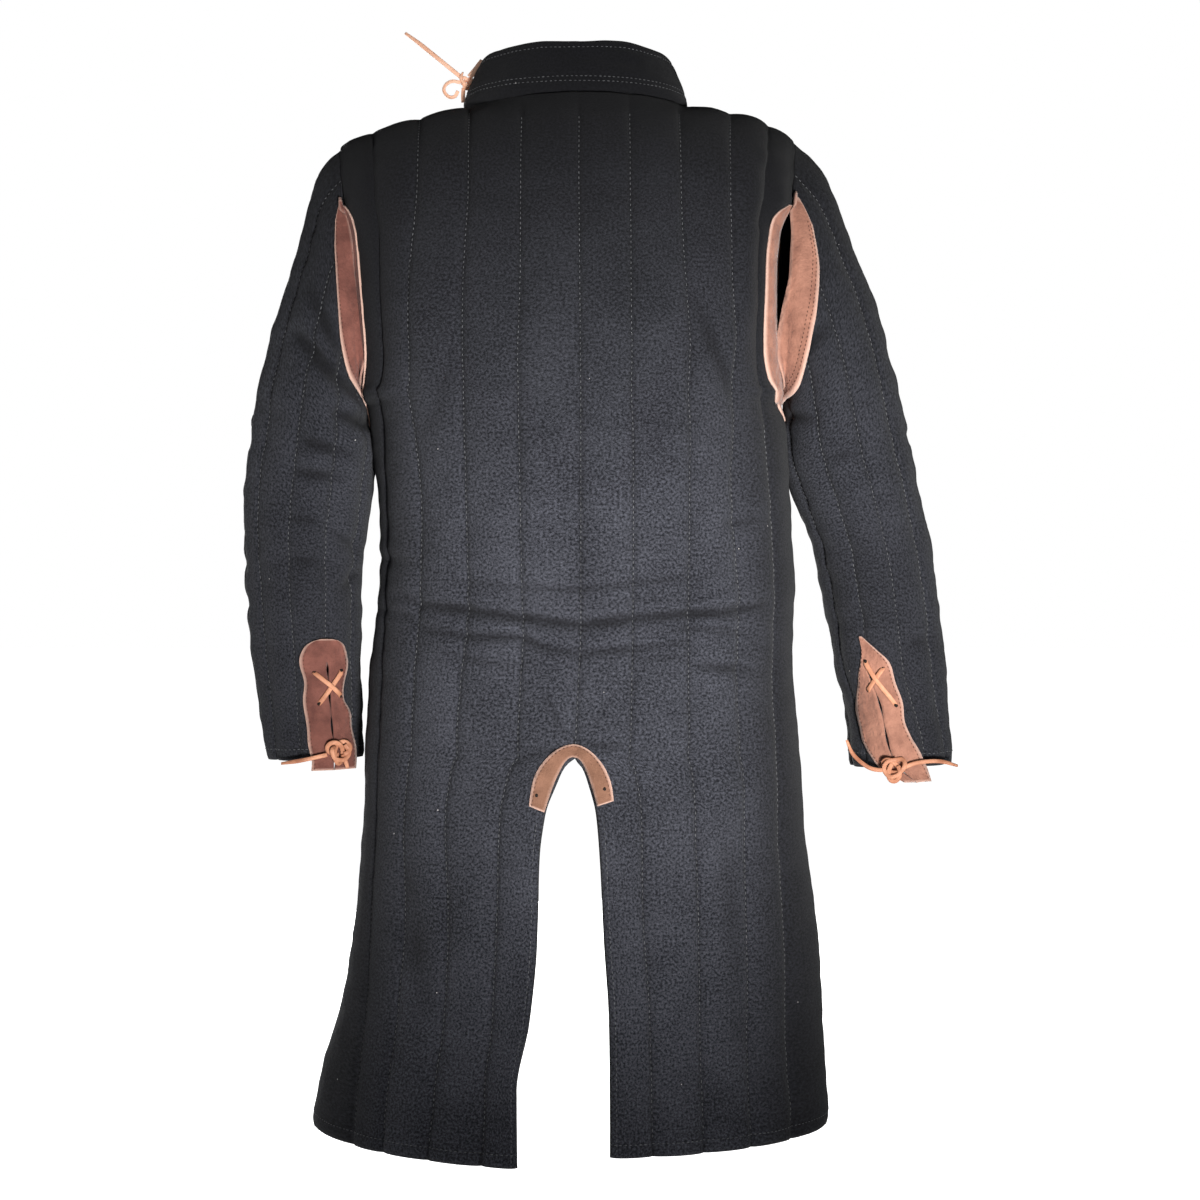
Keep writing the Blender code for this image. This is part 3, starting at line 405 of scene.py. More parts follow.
Section = namedtuple("Section", "z centre left right back front square")
BODY = table(Section, [
    (-1.010, 0.0085, 0.2520, 0.2610, 0.165, 0.165, 2.10),
    (-0.951, 0.0080, 0.2405, 0.2565, 0.160, 0.160, 2.10),
    (-0.887, 0.0040, 0.2245, 0.2485, 0.154, 0.155, 2.15),
    (-0.823, 0.0020, 0.2155, 0.2425, 0.149, 0.150, 2.20),
    (-0.759, 0.0010, 0.2105, 0.2335, 0.144, 0.145, 2.20),
    (-0.695, 0.0000, 0.2065, 0.2255, 0.139, 0.141, 2.20),
    (-0.631, -0.0020, 0.2075, 0.2185, 0.134, 0.137, 2.25),
    (-0.567, -0.0050, 0.2075, 0.2095, 0.126, 0.131, 2.25),
    (-0.519, -0.0070, 0.2025, 0.2075, 0.121, 0.128, 2.25),
    (-0.487, -0.0070, 0.1995, 0.2095, 0.121, 0.127, 2.25),
    (-0.439, -0.0070, 0.1975, 0.2075, 0.123, 0.128, 2.30),
    (-0.391, -0.0070, 0.1985, 0.2045, 0.127, 0.131, 2.30),
    (-0.327, -0.0070, 0.2025, 0.1975, 0.130, 0.135, 2.30),
    (-0.300, -0.0070, 0.2080, 0.1905, 0.130, 0.135, 2.30),
    (-0.250, -0.0065, 0.2250, 0.2080, 0.129, 0.134, 2.35),
    (-0.200, -0.0060, 0.2380, 0.2240, 0.125, 0.130, 2.40),
    (-0.150, -0.0055, 0.2460, 0.2340, 0.118, 0.122, 2.40),
    (-0.105, -0.0050, 0.2500, 0.2400, 0.109, 0.110, 2.40),
])

# Top line of the shoulders, from the corner of the neck to the sleeve
Ridge = namedtuple("Ridge", "x left right")
RIDGE = table(Ridge, [
    (0.105, -0.006, -0.006),
    (0.130, -0.010, -0.007),
    (0.150, -0.016, -0.011),
    (0.175, -0.022, -0.015),
    (0.195, -0.028, -0.022),
    (0.212, -0.034, -0.032),
    (0.218, -0.037, -0.036),
    (0.233, -0.045, -0.045),
])

# Edges of the slit in the back of the skirt
Slit = namedtuple("Slit", "z left right")
SLIT = table(Slit, [
    (-1.010, 0.0515, -0.0345),
    (-0.942, 0.0522, -0.0342),
    (-0.885, 0.0404, -0.0333),
    (-0.812, 0.0332, -0.0287),
    (-0.739, 0.0315, -0.0250),
    (-0.695, 0.0260, -0.0213),
    (-0.666, 0.0150, -0.0138),
    (-0.652, 0.0085, -0.0085),
    (-0.643, 0.0000, 0.0000),
])

# Free edge of the body below the sleeve seam
Edge = namedtuple("Edge", "z left right depth")
EDGE = table(Edge, [
    (-0.3000, 0.2010, 0.1975, 0.000),
    (-0.2970, 0.2025, 0.1985, 0.014),
    (-0.2850, 0.2040, 0.1985, 0.031),
    (-0.2600, 0.2045, 0.1970, 0.046),
    (-0.2200, 0.2075, 0.1955, 0.056),
    (-0.1800, 0.2110, 0.1955, 0.061),
    (-0.1400, 0.2150, 0.1990, 0.0625),
])

# Rings of a sleeve from armhole to cuff
Ring = namedtuple("Ring", "outer_x outer_z inner_x inner_z depth middle bow")
SLEEVES = {
    1: table(Ring, [
        (0.2335, -0.044, 0.2125, -0.291, 0.0660, 0.000, -0.004),
        (0.2530, -0.070, 0.2140, -0.297, 0.0670, 0.000, -0.002),
        (0.2720, -0.135, 0.2135, -0.310, 0.0670, 0.000, 0.000),
        (0.2915, -0.199, 0.2100, -0.330, 0.0660, -0.001, 0.000),
        (0.3105, -0.263, 0.2075, -0.357, 0.0650, -0.003, 0.000),
        (0.3215, -0.320, 0.2075, -0.386, 0.0630, -0.006, 0.000),
        (0.3290, -0.375, 0.2105, -0.415, 0.0610, -0.009, 0.000),
        (0.3315, -0.425, 0.2150, -0.446, 0.0590, -0.012, 0.000),
        (0.3305, -0.474, 0.2165, -0.482, 0.0570, -0.016, 0.000),
        (0.3265, -0.522, 0.2180, -0.524, 0.0550, -0.020, 0.000),
        (0.3225, -0.567, 0.2180, -0.566, 0.0530, -0.024, 0.000),
        (0.3175, -0.612, 0.2180, -0.609, 0.0520, -0.028, 0.000),
        (0.3120, -0.655, 0.2145, -0.653, 0.0510, -0.031, 0.000),
    ]),
    -1: table(Ring, [
        (-0.2195, -0.038, -0.2090, -0.290, 0.0660, 0.000, 0.005),
        (-0.2465, -0.070, -0.2115, -0.297, 0.0670, 0.000, 0.002),
        (-0.2725, -0.135, -0.2125, -0.310, 0.0670, 0.000, 0.000),
        (-0.2975, -0.199, -0.2120, -0.328, 0.0660, 0.000, 0.000),
        (-0.3155, -0.263, -0.2125, -0.353, 0.0650, -0.001, 0.000),
        (-0.3280, -0.320, -0.2170, -0.380, 0.0630, -0.003, 0.000),
        (-0.3400, -0.375, -0.2280, -0.408, 0.0610, -0.005, 0.000),
        (-0.3510, -0.425, -0.2400, -0.441, 0.0590, -0.007, 0.000),
        (-0.3610, -0.474, -0.2480, -0.478, 0.0570, -0.010, 0.000),
        (-0.3665, -0.522, -0.2560, -0.521, 0.0550, -0.013, 0.000),
        (-0.3710, -0.567, -0.2640, -0.564, 0.0530, -0.016, 0.000),
        (-0.3745, -0.612, -0.2750, -0.607, 0.0520, -0.019, 0.000),
        (-0.3800, -0.658, -0.2790, -0.662, 0.0510, -0.022, 0.000),
    ]),
}

Station = namedtuple("Station", ("at",) + Ring._fields)

# %% [markdown]
# ## Reading the tables
# A value between two rows of a table lies on a smooth curve that never swings past its rows, so the
# cloth has no false bumps. Rows of points are worked out together, which keeps the script quick.

# %% Smooth values between rows
CURVES = {}


def smooth(rows_of, column, at, key=0):
    """A column's value at a place between rows, on a curve that never swings past its rows."""
    label = (id(rows_of), column, key)
    if label not in CURVES:
        rows = sorted(rows_of)
        x = [row[key] for row in rows]
        y = [getattr(row, column) for row in rows]
        slope = [(y[n + 1] - y[n]) / (x[n + 1] - x[n]) for n in range(len(x) - 1)]
        tangents = [slope[0]]
        for before, after in zip(slope, slope[1:]):
            tangents.append(0.0 if before * after <= 0 else 2 * before * after / (before + after))
        tangents.append(slope[-1])
        CURVES[label] = np.array(x), np.array(y), np.array(tangents), rows_of
    x, y, m, _ = CURVES[label]
    at = np.clip(at, x[0], x[-1])
    k = np.clip(np.searchsorted(x, at) - 1, 0, len(x) - 2)
    width = x[k + 1] - x[k]
    t = (at - x[k]) / width
    rise = (1 + 2 * t) * (1 - t) ** 2 * y[k] + t * t * (3 - 2 * t) * y[k + 1]
    return rise + width * (t * (1 - t) ** 2 * m[k] - t * t * (1 - t) * m[k + 1])


def step(low, high, at):
    """From 0 at the low place to 1 at the high one, with soft ends."""
    t = np.clip((at - low) / (high - low), 0.0, 1.0)
    return t * t * (3 - 2 * t)


def word(side):
    return "left" if side > 0 else "right"

# %% The body's outline and the armhole's edge
def quarter(z, face, side):
    """A quarter of the body's outline at a height, from its middle to its side, with the way along it."""
    wide = smooth(BODY, word(side), z)
    deep = smooth(BODY, "back" if face > 0 else "front", z)
    power = 2 / smooth(BODY, "square", z)
    turn = np.linspace(0.0, math.pi / 2, 181)
    x = wide * np.sin(turn) ** power
    y = deep * np.cos(turn) ** power
    along = np.concatenate([[0.0], np.cumsum(np.hypot(np.diff(x), np.diff(y)))])
    return x, y, along


def armhole(side, z):
    """x and depth of the sleeve's first ring at a height."""
    ring = SLEEVES[side][0]
    rise = (ring.outer_z - ring.inner_z) / 2
    lift = float(np.clip((z - (ring.outer_z + ring.inner_z) / 2) / rise, -1.0, 1.0))
    across = math.sqrt(1 - lift * lift)
    x = (ring.outer_x + ring.inner_x) / 2 + (ring.outer_x - ring.inner_x) / 2 * lift
    return x + ring.bow * across * across, ring.depth * across


JOINED = {}
for side in (1, -1):
    seam_x, seam_y = armhole(side, SEAM_END_Z)
    JOINED[side] = EDGE + [Edge(SEAM_END_Z, abs(seam_x), abs(seam_x), seam_y)]


def body_edge(z, side):
    """x and depth of the body's free edge at a height, and of the sleeve seam above it."""
    if z >= SEAM_END_Z:
        return armhole(side, z)
    return side * float(smooth(JOINED[side], word(side), z)), float(smooth(JOINED[side], "depth", z))


def slit_edge(z, face, side):
    """How far a side of the skirt's slit stands from the middle."""
    if z >= SLIT_TOP:
        return 0.0
    reach = max(side * (smooth(SLIT, word(side), z) - smooth(BODY, "centre", z)), 0.0)
    return reach + (0.0 if face > 0 else FRONT_SLIT_MORE * step(0.0, 0.03, SLIT_TOP - z))


MIDDLE = float(smooth(BODY, "centre", SHOULDER_Z))


def corner(side):
    """x where the neck opening meets the shoulder."""
    x, y, along = quarter(SHOULDER_Z, 1, side)
    return MIDDLE + side * float(np.interp(NECK_SHARE * along[-1], along, x))


CORNER = {side: corner(side) for side in (1, -1)}

# %% A row of points round the body, at one height
def over_shoulder(x, y, v, face, side):
    """Bends the rows above the shoulder's height over to the neck and the shoulder seam."""
    neck = np.abs((x - MIDDLE) / (CORNER[side] - MIDDLE))
    inward = np.sqrt(np.clip(1 - neck * neck, 0.0, 1.0))
    seam_z = smooth(RIDGE, word(side), np.abs(x))
    end_y = NECK_DEPTH[face] * inward
    end_z = np.where(neck < 0.999, NECK_SIDE_Z + (NECK_Z[face] - NECK_SIDE_Z) * inward**2, seam_z)
    most = np.arccos(np.minimum(end_y / np.maximum(y, 1e-6), 1.0))
    turn = (v - SHOULDER_Z) / OVER * most
    return y * np.cos(turn), SHOULDER_Z + (end_z - SHOULDER_Z) * np.sin(turn) / np.sin(most)


def body_row(face, side, far, v):
    """Points on one side of the back (face 1) or front (face -1): far runs from the middle, 0, to 1."""
    z = min(v, SHOULDER_Z)
    middle = float(smooth(BODY, "centre", z))
    x, y, along = quarter(z, face, side)
    start = slit_edge(z, face, side) / along[-1]
    end = 1.0
    edge_x, edge_y = body_edge(z, side)
    if z > ARMPIT_Z:
        end = float(np.interp(side * (edge_x - middle), x, along)) / along[-1]
    beyond = (far - EVEN_SHARE) * (end - EVEN_SHARE) / (1 - EVEN_SHARE)
    place = np.where(far < EVEN_SHARE, far, EVEN_SHARE + beyond)
    place = (start + (1 - start) * place) * along[-1]
    px = middle + side * np.interp(place, along, x)
    py = np.interp(place, along, y)
    pz = np.full_like(px, z)
    if v > SHOULDER_Z:
        py, pz = over_shoulder(px, py, v, face, side)
    if v > ARMPIT_Z:
        last_x = middle + side * float(np.interp(end * along[-1], along, x))
        last_y = float(np.interp(end * along[-1], along, y))
        edge_z = last_z = z
        if v > SHOULDER_Z:
            ends = over_shoulder(np.array([last_x]), np.array([last_y]), v, face, side)
            last_y, last_z = float(ends[0][0]), float(ends[1][0])
            turn = (v - SHOULDER_Z) / OVER * math.pi / 2
            edge_z = SHOULDER_Z + (SLEEVES[side][0].outer_z - SHOULDER_Z) * math.sin(turn)
        edge_x, edge_y = body_edge(edge_z, side)
        pull = step(0.55, 1.0, far)
        px = px + pull * (edge_x - side * SEAM - last_x)
        py = py + pull * (edge_y - last_y)
        pz = pz + pull * (edge_z - last_z)
    if side > 0 and face > 0:
        pz = pz - 0.010 * step(-0.85, HEM_Z, pz) * (1 - far)
    return np.stack([px, face * (np.maximum(py, 0.0) + SEAM), pz], axis=-1)

# %% A ring of points round a sleeve
RINGS = {side: [Station(n, *ring) for n, ring in enumerate(SLEEVES[side])] for side in SLEEVES}


def sleeve_row(side, angles, along):
    """Points of a sleeve at some angles round the arm, along rings from 0 at the armhole to 12."""
    rings = RINGS[side]
    ring = Ring(*(float(smooth(rings, name, along)) for name in Ring._fields))
    turn = np.radians(angles)
    x = (ring.outer_x + ring.inner_x) / 2 + (ring.outer_x - ring.inner_x) / 2 * np.cos(turn)
    z = (ring.outer_z + ring.inner_z) / 2 + (ring.outer_z - ring.inner_z) / 2 * np.cos(turn)
    x = x + ring.bow * np.sin(turn) ** 2
    y = ring.middle + ring.depth * np.sin(turn)
    return np.stack([x, y, z - RING_BELOW * max(along - len(rings) + 1, 0.0)], axis=-1)


print("half girth at the waist:", round(float(quarter(-0.5, 1, 1)[2][-1]), 3), "m")

# %% [markdown]
# ## Where the stitching runs
# From behind, the coat shows eight long rows about 50 mm apart, and they wander as sewn rows do. Each is
# given as x at a few heights in the plane through the middle of the coat. What lies nearer the camera
# looks larger, so a point's own depth brings its true x back.

# %% Rows of quilting on the back, in millimetres, from the shoulders to the hem
ROW_HEIGHTS = [-51, -135, -275, -393, -485, -585, -650, -715, -835, -955, -1045]
QUILTING = {
    4: [203, 199, 193, 188, 189, 195, 198, 198, 207, 214, 227],
    3: [157, 167, 170, 154, 158, 164, 168, 174, 172, 184, 194],
    2: [108, 113, 116, 112, 109, 117, 125, 133, 128, 138, 150],
    1: [55, 57, 60, 56, 54, 56, 62, 79, 81, 89, 96],
    0: [-6, -6, -6, -6, -5, -3, 0, 0, 0, 0, 0],
    -1: [-56, -57, -60, -62, -59, -58, -60, -67, -74, -79, -83],
    -2: [-107, -110, -119, -116, -116, -115, -117, -122, -126, -129, -132],
    -3: [-157, -157, -163, -157, -166, -163, -167, -172, -174, -176, -178],
    -4: [-195, -184, -184, -197, -201, -200, -203, -205, -211, -215, -218],
}
CENTRE_X, CENTRE_Z, FAR = CAMERA_PLACE[0], CAMERA_PLACE[2], CAMERA_PLACE[1]


def as_seen(points):
    """x and z where points appear in the middle plane, seen from behind."""
    grow = FAR / (FAR - points[..., 1])
    return (points[..., 0] - CENTRE_X) * grow + CENTRE_X, (points[..., 2] - CENTRE_Z) * grow + CENTRE_Z


def row_places(side, v):
    """Share of the way from the middle to the side for rows 0 to 5 of quilting, on the back."""
    far = np.linspace(0.0, 1.0, 61)
    seen_x, seen_z = as_seen(body_row(1, side, far, v))
    places = [0.0]
    for number in range(1, 5):
        wanted = np.interp(-seen_z * 1000, [-z for z in ROW_HEIGHTS], QUILTING[side * number]) / 1000
        ahead = side * (seen_x - wanted)
        crossing = int(np.argmax(ahead > 0)) if (ahead > 0).any() else 60
        before = far[max(crossing - 1, 0)]
        places.append(float(np.clip(before, places[-1] + 0.10, 0.62 + 0.08 * number)))
    return places + [1.0]


ROW_LEVELS = np.linspace(HEM_Z, SHOULDER_Z + OVER, 45)
ROWS = {}
for side in (1, -1):
    found = np.array([row_places(side, v) for v in ROW_LEVELS])
    for _ in range(3):
        found[1:-1] = (found[:-2] + found[1:-1] * 2 + found[2:]) / 4
    ROWS[side] = found
print("row 2 on the left starts at", round(float(ROWS[1][0][2]), 3), "of the half width")


def far_of(face, side, row, v):
    """The place of quilting row number row, which may lie between two rows."""
    at = [np.interp(v, ROW_LEVELS, ROWS[side][:, n]) if face > 0 else n / 5 for n in range(6)]
    return np.interp(row, range(6), at)

# %% [markdown]
# ## Creases
# The coat is creased where it bends: three uneven folds right across the waist, a drag line from the
# shoulder and one above the slit. Each is a soft trough with a low lip above it. The front isn't shown,
# so it gets similar folds, moved and softened.

# %% Folds of the body: points in millimetres in the middle plane, deepest depth and half-width
Fold = namedtuple("Fold", "points depth width")
BODY_FOLDS = table(Fold, [
    ([(118, -476), (39, -484), (-5, -484), (-61, -478), (-163, -466)], 1.9, 4.6),
    ([(172, -490), (156, -499), (54, -512), (-5, -520), (-58, -513), (-157, -506), (-190, -499)],
     4.2, 5.6),
    ([(151, -523), (109, -531), (54, -532), (27, -544), (-5, -548), (-58, -544), (-113, -538)],
     2.9, 5.0),
    ([(-61, -555), (-115, -550)], 1.8, 4.5),
    ([(-120, -560), (-200, -567)], 2.4, 5.5),
    ([(190, -505), (158, -512)], 2.6, 5.0),
    ([(200, -452), (160, -458)], 2.0, 6.0),
    ([(-150, -420), (-196, -411)], 2.0, 7.0),
    ([(-72, -528), (-120, -522), (-182, -529)], 1.9, 4.2),
    ([(128, -548), (88, -557), (40, -561)], 1.8, 4.2),
    ([(92, -498), (62, -494), (24, -499)], 1.5, 3.6),
    ([(-30, -497), (-78, -491), (-118, -494)], 1.5, 3.6),
    ([(-120, -194), (-154, -285)], 2.2, 8.0),
    ([(-189, -66), (-193, -92), (-187, -116)], 3.0, 7.0),
    ([(-1, -640), (-45, -640)], 2.2, 5.0),
    ([(10, -640), (52, -652)], 1.5, 5.0),
    ([(30, -588), (14, -628)], 1.5, 5.0),
    ([(-34, -592), (-18, -630)], 1.4, 5.0),
    ([(170, -760), (150, -900)], 1.8, 14.0),
    ([(-150, -720), (-165, -930)], 1.8, 14.0),
    ([(120, -250), (150, -330)], 1.2, 10.0),
])
SLEEVE_FOLDS = {
    1: table(Fold, [
        ([(266, -183), (233, -257)], 2.8, 8.0),
        ([(275, -233), (251, -260), (223, -285)], 5.5, 8.0),
        ([(271, -336), (228, -349)], 3.6, 7.0),
        ([(284, -367), (233, -372)], 2.8, 7.0),
        ([(238, -309), (203, -324)], 5.0, 7.0),
        ([(295, -412), (243, -418)], 2.4, 7.0),
        ([(297, -453), (245, -457)], 2.4, 7.0),
        ([(236, -485), (213, -466)], 3.6, 6.0),
        ([(318, -300), (285, -318)], 1.6, 9.0),
        ([(245, -425), (222, -440)], 3.0, 6.0),
    ]),
    -1: table(Fold, [
        ([(-218, -199), (-244, -168)], 3.2, 8.0),
        ([(-208, -260), (-254, -222)], 4.2, 8.0),
        ([(-198, -290), (-233, -265)], 3.0, 7.0),
        ([(-213, -311), (-238, -313)], 3.4, 6.0),
        ([(-254, -354), (-277, -347)], 2.6, 6.0),
        ([(-250, -440), (-290, -452)], 2.2, 8.0),
        ([(-262, -520), (-300, -510)], 2.0, 9.0),
        ([(-330, -540), (-368, -530)], 1.8, 10.0),
    ]),
}


FOLD_LIP = 0.4  # height of the lip above a fold, as a share of the fold's depth


def trough(x, z, fold):
    """How far a fold pushes the cloth in (negative) or lifts it, at places given in metres."""
    points = np.array(fold.points, float) / 1000
    width = fold.width / 1000
    nearest = np.full(x.shape, 1e9)
    above = np.zeros(x.shape)
    along = np.zeros(x.shape)
    lengths = np.hypot(*np.diff(points, axis=0).T)
    total = lengths.sum()
    done = 0.0
    for (ax, az), (bx, bz), length in zip(points, points[1:], lengths):
        t = np.clip(((x - ax) * (bx - ax) + (z - az) * (bz - az)) / length**2, 0.0, 1.0)
        dx, dz = x - ax - t * (bx - ax), z - az - t * (bz - az)
        distance = np.hypot(dx, dz)
        closer = distance < nearest
        nearest = np.where(closer, distance, nearest)
        above = np.where(closer, np.sign(dz if abs(bx - ax) > abs(bz - az) else dx), above)
        along = np.where(closer, (done + t * length) / total, along)
        done += length
    strength = 0.35 + 0.65 * np.sin(math.pi * np.clip(along * 0.9 + 0.05, 0, 1)) ** 0.7
    signed = nearest * above
    push = -np.exp(-((signed / width) ** 2))
    lifts = FOLD_LIP * np.exp(-(((signed - 1.9 * width) / (1.2 * width)) ** 2))
    lifts += 0.5 * FOLD_LIP * np.exp(-(((signed + 1.9 * width) / (1.2 * width)) ** 2))
    return fold.depth / 1000 * strength * (push + lifts)


def rough(points, wavelength, seed):
    """Smooth unevenness from -1 to 1 over an array of points."""
    flat = points.reshape(-1, 3) / wavelength
    shift = Vector((seed * 7.31, seed * 3.17, seed * 5.93))
    return np.array([noise.noise(Vector(p) + shift) for p in flat]).reshape(points.shape[:-1])


def folded(seen_x, seen_z, folds):
    return sum(trough(seen_x, seen_z, fold) for fold in folds)


print("folds on the body:", len(BODY_FOLDS))

# %% [markdown]
# ## Cloth from a grid
# Each panel starts as a flat grid. Its columns crowd together at the rows of stitching, where the cloth
# dips, and every point then moves to its place on the body. Strips meet at the slits, and where they
# touch their points are merged, so a slit opens and the rest is one sheet.

# %% Grid helpers
NEAR_A_ROW = [0.0, 0.035, 0.08, 0.15, 0.25, 0.37]


def share_list(first, last):
    """Grid columns between two rows of stitching, close together beside each row."""
    shares = []
    for number in range(first, last):
        shares += [number + s for s in NEAR_A_ROW]
        shares += [number + 0.5] + [number + 1 - s for s in reversed(NEAR_A_ROW[1:])]
    return shares + [float(last)]


def unit(vectors):
    return vectors / np.maximum(np.linalg.norm(vectors, axis=-1, keepdims=True), 1e-12)


def normals_of(points):
    """Unit normals of a grid of points."""
    return unit(np.cross(np.gradient(points, axis=0), np.gradient(points, axis=1)))


def grid_of(rows):
    """Rows of points, one row for each step along a strip, as a grid whose columns go across."""
    return np.array(rows).transpose(1, 0, 2)


def uv_of(points):
    """Metres across and along a grid of points, taken as even in each column and row."""
    across = np.linalg.norm(np.diff(points, axis=0), axis=-1).mean(axis=1)
    along = np.linalg.norm(np.diff(points, axis=1), axis=-1).mean(axis=0)
    u = np.concatenate([[0.0], np.cumsum(across)])
    v = np.concatenate([[0.0], np.cumsum(along)])
    return np.stack(np.meshgrid(u, v, indexing="ij"), axis=-1)


def add_grid(mesh, points, uv, edges=None):
    """A grid moved to its places, with UVs in metres and a mask: pale cut edges on leather, painted shade
    on cloth.
    """
    columns, rows = points.shape[0] - 1, points.shape[1] - 1
    uv_layer = mesh.loops.layers.uv.verify()
    mask = mesh.verts.layers.float.get("edge") or mesh.verts.layers.float.new("edge")
    old_faces = set(mesh.faces)
    made = bmesh.ops.create_grid(mesh, x_segments=columns, y_segments=rows, size=1.0)["verts"]
    index = {}
    for vert in made:
        i = round((vert.co.x + 1) / 2 * columns)
        j = round((vert.co.y + 1) / 2 * rows)
        index[vert] = i, j
        vert[mask] = 0.0 if edges is None else float(edges[i, j])
    for vert, (i, j) in index.items():
        vert.co = points[i, j]
    for face in {face for vert in made for face in vert.link_faces} - old_faces:
        for loop in face.loops:
            loop[uv_layer].uv = uv[index[loop.vert]]
    return made


def join_and_turn(mesh, way, merge=1e-5):
    """Merges touching points, then turns the sheet so that what lies furthest that way looks that way."""
    way = Vector(way)
    if merge:
        bmesh.ops.remove_doubles(mesh, verts=mesh.verts[:], dist=merge)
        bmesh.ops.recalc_face_normals(mesh, faces=mesh.faces[:])
    furthest = max(mesh.faces, key=lambda f: f.calc_center_median().dot(way))
    if furthest.normal.dot(way) < 0:
        bmesh.ops.reverse_faces(mesh, faces=mesh.faces[:])


def finish_piece(name, mesh, finishes, node=None, thickness=None):
    """Makes the piece, gives a sheet its thickness and hands it to the frame."""
    data = bpy.data.meshes.new(name)
    mesh.to_mesh(data)
    mesh.free()
    data.shade_smooth()
    for finish in finishes:
        data.materials.append(finish)
    piece = bpy.data.objects.new(name, data)
    bpy.context.scene.collection.objects.link(piece)
    if thickness:
        solid = piece.modifiers.new("thickness", "SOLIDIFY")
        solid.thickness = thickness
        solid.offset = -1.0
        solid.use_rim = True
        if len(finishes) > 1:
            solid.material_offset = 1
    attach(piece, "root")
    if node:
        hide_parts(node)
    return piece


def canvas_piece(node, mesh, thickness):
    """A piece of canvas with its lining and its thickness, handed to the frame."""
    piece = finish_piece(node + "_cloth", mesh, [CANVAS, LINING], node, thickness)

# %% Height of the padding between rows
PUFF = 0.0036
VALLEY = 0.0016
BODY_CHANNEL = 0.052
SLEEVE_CHANNEL = 0.036
HALF_GIRTH = 0.225
HALF_GIRTH_UNDER = 0.220  # the same under leather, which presses the padding down
PUCKER = 0.0007
TURNED_IN = 0.0018  # how far an edge rolls in where its layers are turned in
TURNED_WIDTH = 0.0030


def from_row(shares, channel):
    """Distance in metres from the nearest row of stitching, for channels of the given width."""
    return np.abs((shares + 0.5) % 1.0 - 0.5) * channel


def puffed(shares, channel):
    """Padding height over a list of columns: flat on top, tight at a row."""
    inside = from_row(shares, channel)
    pillow = 1 - np.exp(-((inside / 0.0085) ** 1.3))
    return PUFF * pillow - VALLEY * np.exp(-((inside / 0.0020) ** 2))


def puckered(base, shares, channel, seed):
    """Fine wrinkles that the thread draws up beside each row."""
    near = from_row(shares, channel)[:, None]
    return PUCKER * rough(base * np.array([0.6, 0.6, 1.0]), 0.0085, seed) * np.exp(-near / 0.008)


# Below each armpit the padding is pushed out: middle height, then how far on the body and the sleeve
ARMPIT_SWELL = {1: (-0.330, 0.0078, 0.0088), -1: (-0.308, 0.0060, 0.0060)}
SWELL_HEIGHT = 0.055
SWELL_WIDTH = 0.025
SLEEVE_INSIDE = 0.05  # from this far inside its axis, a sleeve faces the body


def body_swell(side, z, from_seam):
    middle, amount, _ = ARMPIT_SWELL[side]
    return amount * np.exp(-(((z - middle) / SWELL_HEIGHT) ** 2)) * np.exp(-from_seam / SWELL_WIDTH)


def sleeve_swell(side, z, inward):
    middle, _, amount = ARMPIT_SWELL[side]
    facing = np.clip(inward / SLEEVE_INSIDE, 0.0, 1.0)
    return amount * np.exp(-(((z - middle) / SWELL_HEIGHT) ** 2)) * facing

# %% [markdown]
# ## Stitches
# A quilting stitch is a short dash of thread that sinks at both ends. One dash is a flattened ball of a
# few faces, and hundreds of copies are joined in one mesh, laid end to end along each row.

# %% Dashes of thread along a line
ROW_STITCH = dict(pitch=0.0052, length=0.0034, lift=0.0005)
HEM_STITCH = dict(pitch=0.0046, length=0.0030, lift=0.0002)
COLLAR_STITCH = dict(pitch=0.0046, length=0.0030, lift=0.0003)
LEATHER_STITCH = dict(pitch=0.0042, length=0.0026, lift=0.0002)
THREAD_THICK = 0.0009


class Stitches:
    def __init__(self, name, finish, slot):
        self.name, self.finish, self.slot = name, finish, slot
        self.mesh = bmesh.new()
        self.count = 0

    def dash(self, row, middle, along, outward, length, width, height):
        """One flattened ball, laid along its row."""
        along = along.normalized()
        outward = (outward - along * outward.dot(along)).normalized()
        turn = Matrix((along, outward.cross(along), outward)).transposed()
        made = bmesh.ops.create_icosphere(row, subdivisions=1, radius=0.5)["verts"]
        bmesh.ops.scale(row, verts=made, vec=(length, width, height))
        bmesh.ops.rotate(row, verts=made, cent=(0, 0, 0), matrix=turn)
        bmesh.ops.translate(row, verts=made, vec=middle)
        self.count += 1

    def line(self, points, normals, pitch, length, lift):
        """Dashes from end to end of a line, a little uneven in length and distance."""
        route = [Vector(p) for p in points]
        run = [0.0]
        for a, b in zip(route, route[1:]):
            run.append(run[-1] + (b - a).length)
        picker = random.Random(len(route) + self.count)
        row = bmesh.new()
        at = pitch / 2
        while at < run[-1] - pitch / 2:
            place = [float(np.interp(at, run, [p[k] for p in route])) for k in range(3)]
            ahead = [float(np.interp(at + 0.001, run, [p[k] for p in route])) for k in range(3)]
            up = Vector([float(np.interp(at, run, [n[k] for n in normals])) for k in range(3)])
            way = Vector(ahead) - Vector(place)
            middle = Vector(place) + up.normalized() * lift
            uneven = length * picker.uniform(0.85, 1.1)
            self.dash(row, middle, way, up, uneven, THREAD_THICK, THREAD_THICK)
            at += pitch * picker.uniform(0.93, 1.07)
        threads = bpy.data.meshes.new("threads")
        row.to_mesh(threads)
        row.free()
        self.mesh.from_mesh(threads)
        bpy.data.meshes.remove(threads)

    def piece(self):
        finish_piece(self.name, self.mesh, [self.finish])
        print(self.name, "stitches:", self.count)


